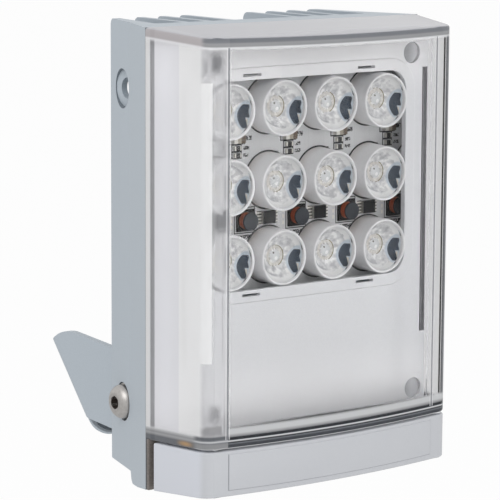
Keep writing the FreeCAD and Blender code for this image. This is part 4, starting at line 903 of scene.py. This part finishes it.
# The painted greys reach up over the shaded gap under the bezel on the front.
low_fade = from_low.between(9.4, 7.6) * (1.0 - frosting) + from_low.between(6.4, 5.0) * frosting
painted = from_top.between(5.2, 3.6).larger(low_fade)
paint = clear.add("ShaderNodeBsdfPrincipled", inputs={
    "Base Color": paint_tone, "Roughness": 0.2, "Specular IOR Level": 0.2})
walls = clear.add("ShaderNodeMixShader", inputs={0: painted * 0.93, 1: pane, 2: paint})

# Painted dark lines and painted highlights at the insert's rails, and a painted dark outline where
# the skin turns away.
outline = clear.add("ShaderNodeLayerWeight", inputs={"Blend": 0.5}, output=1).between(0.38, 0.7)
outline = outline * (1.0 - painted) * y.between(7.0, 5.0)
height = z.band(22.9, 176.0, 0.2) * y.between(3.5, 2.5)
from_line = abs(abs(x) - LINE_X)
dark_line = from_line.between(0.5, 0.3) * height
painted_highlight_line = abs(from_line - 0.75).between(0.28, 0.14) * height
line_tone = dark_line.blend(linear(120, 122, 126), linear(118, 120, 125))
line_tone = painted_highlight_line.blend(line_tone, linear(222, 222, 224))
edge = clear.add("ShaderNodeBsdfPrincipled", inputs={
    "Base Color": line_tone, "Roughness": 0.3, "Specular IOR Level": 0.2})
lines = (outline * 0.9).larger(dark_line * 0.8).larger(painted_highlight_line * 0.6)
cover_skin = clear.add("ShaderNodeMixShader", inputs={0: lines, 1: walls, 2: edge})
finish(clear, cover_skin)

# The inside of the cover: it bends light in the polished middle alone.
cover_inside, inner, _, x, y, z = new_material("cover_inside")
polished = bending_plastic(inner, 0.1)
passing = inner.add("ShaderNodeBsdfTransparent", inputs={"Color": WHITE})
middle = x.between(-50.8, -50.6) * x.between(59.4, 59.2) * y.between(8.0, 7.0)
middle = middle * z.band(22.8, 176.3)
sheet = inner.add("ShaderNodeMixShader", inputs={0: middle, 1: passing, 2: polished})
finish(inner, sheet)

shape = bmesh.new()
outer_rim = bowed_block(shape, 0, 0, CORNER_R, COVER_LOW, COVER_TOP, JOINT, edge=1.2)
outside = set(shape.faces)
inner_rim = bowed_block(shape, WALL_T, WALL_T, CORNER_R - WALL_T, COVER_LOW + TOP_WALL_T,
                        COVER_TOP - TOP_WALL_T, JOINT)
for face in set(shape.faces) - outside:
    face.material_index = 1
close_rear(shape, outer_rim, inner_rim)
make_piece("clear_cover_shell", shape, "lamp", clear_cover, cover_inside,
           replaces=["front_cover"], slot="clear_cover")

# The cover's foot is painted a dark brownish grey, for the shade in the gap behind the cap.
foot_painted_shade = plain_finish("cover_foot", linear(104, 98, 94), linear(120, 114, 110), 0.3)
foot = block(at(-RIM_HALF, JOINT - RIM_T, -BOTTOM_DROP), at(RIM_HALF, JOINT, COVER_LOW + 0.3), 0.2)
make_piece("clear_cover_foot", foot, "lamp", foot_painted_shade, replaces=["front_cover"], slot="clear_cover")

pane_rear = FRONT_RADIUS - FRONT_BULGE - math.sqrt((FRONT_RADIUS - WALL_T) ** 2 - RAIL_X ** 2)
for side_name, side in SIDES:
    near_x, far_x = sorted((side * RAIL_X, side * (RAIL_X + RAIL_T)))
    low = at(near_x, pane_rear - 0.3, COVER_LOW + TOP_WALL_T - 0.1)
    high = at(far_x, pane_rear + WALL_T + 0.3, COVER_TOP - TOP_WALL_T)
    make_piece("cover_rail_" + side_name, block(low, high, 0.15), "lamp", thin_clear,
               replaces=["front_cover"], slot="clear_cover")


# Diffuser insert: a thin clear sheet behind the polished middle of the cover, bent like it and
# held at its two upright edges. It lets light straight through at the very edges.
INSERT_T = 1.5
INSERT_TOP = 175.8


def bent_sheet(half, inset, thickness, low, high):
    """A sheet bent like the cover's front, standing on the given heights."""
    sheet_shape = bmesh.new()
    radius = FRONT_RADIUS - inset
    middle = FRONT_RADIUS - FRONT_BULGE
    y = middle - math.sqrt(radius ** 2 - half ** 2)
    ends = [sheet_shape.verts.new(at(-half, y, z)) for z in (low, high)]
    upright = sheet_shape.edges.new(ends)
    bmesh.ops.spin(sheet_shape, geom=ends + [upright], cent=at(0, middle, 0), axis=(0, 0, 1),
                   dvec=(0, 0, 0), angle=2 * math.asin(half / radius), steps=32, use_merge=False,
                   use_normal_flip=False, use_duplicate=False)
    bmesh.ops.recalc_face_normals(sheet_shape, faces=sheet_shape.faces)
    if sheet_shape.faces[:][0].normal.y > 0:
        bmesh.ops.reverse_faces(sheet_shape, faces=sheet_shape.faces)
    bmesh.ops.solidify(sheet_shape, geom=sheet_shape.faces[:], thickness=thickness / 1000)
    return sheet_shape


solid_clear, solid, _, x, *_ = new_material("solid_clear")
passing = solid.add("ShaderNodeBsdfTransparent", inputs={"Color": WHITE})
sheet = solid.add("ShaderNodeMixShader", inputs={
    0: abs(x).between(INSERT_HALF - 0.9, INSERT_HALF - 0.7), 1: bending_plastic(solid, 0.1), 2: passing})
finish(solid, sheet)

shape = bent_sheet(INSERT_HALF, WALL_T + 0.3, INSERT_T, COVER_LOW + TOP_WALL_T + 0.1, INSERT_TOP)
make_piece("insert_sheet", shape, "lamp", solid_clear, replaces=["diffuser_insert"], slot="clear_insert")


# Lower cap: a white moulding under the seam that hides the cover's fixing screws, with a bare
# field raised a little on its front and a faint groove round that field in painted shade. Behind
# its front it is painted lighter and a little bluer for light.
CAP_REAR = 26.4
CAP_WALL_T = 2.2
FIELD_RISE = 0.35
FIELD_LOW = 2.6
FIELD_TOP = CAP_TOP - 1.3
FIELD_EDGE = 0.25

cap_white, cap_look, place, x, y, z = new_material("cap_white")
mottle = noise(place, 0.9, 2.0)
cloud = noise(place, 0.05, 2.0)
tone = (mottle * 0.4 + cloud * 0.6).blend(linear(181, 183, 188), linear(188, 190, 194))
# Painted light: lighter and bluer away from the front.
tone = (y.between(1.0, 4.0) * 0.8).blend(tone, linear(208, 211, 219))
# Painted shade: a faint groove round the raised field.
groove_shade = abs(abs(x) - (INSERT_HALF - 0.05)).between(0.22, 0.08) * z.band(FIELD_LOW - 0.2, FIELD_TOP + 0.1)
across_field = abs(x).between(INSERT_HALF + 0.1, INSERT_HALF - 0.1)
groove_shade = groove_shade.larger(abs(z - (FIELD_LOW - 0.1)).between(0.2, 0.06) * across_field)
tone = (groove_shade * 0.5).blend(tone, linear(120, 124, 130))
relief = relief_of(mottle, 0.06, 0.0001)
surface = cap_look.add("ShaderNodeBsdfPrincipled", inputs={
    "Base Color": tone, "Roughness": 0.35 + 0.1 * mottle, "Coat Weight": 0.3, "Coat Roughness": 0.1,
    "Normal": relief})
finish(cap_look, surface)

shape = bmesh.new()
outer_rim = bowed_block(shape, 0, 0, CORNER_R, 0, CAP_TOP, CAP_REAR, edge=0.6)
inner_rim = bowed_block(shape, CAP_WALL_T, CAP_WALL_T, CORNER_R - CAP_WALL_T, CAP_WALL_T,
                        CAP_TOP - CAP_WALL_T, CAP_REAR)
close_rear(shape, outer_rim, inner_rim)
make_piece("cap_shell", shape, "lamp", cap_white, replaces=["lower_cap"], slot="white_cap")

shape = bent_sheet(INSERT_HALF, -FIELD_RISE, 2 * FIELD_RISE, FIELD_LOW, FIELD_TOP)
rims = [e for e in shape.edges if e.is_convex and len(e.link_faces) == 2 and e.calc_face_angle() > 1]
bmesh.ops.bevel(shape, geom=rims, offset=FIELD_EDGE / 1000, offset_type="OFFSET", segments=3,
                profile=0.5, affect="EDGES", material=-1)
make_piece("cap_field", shape, "lamp", cap_white, replaces=["lower_cap"], slot="white_cap")
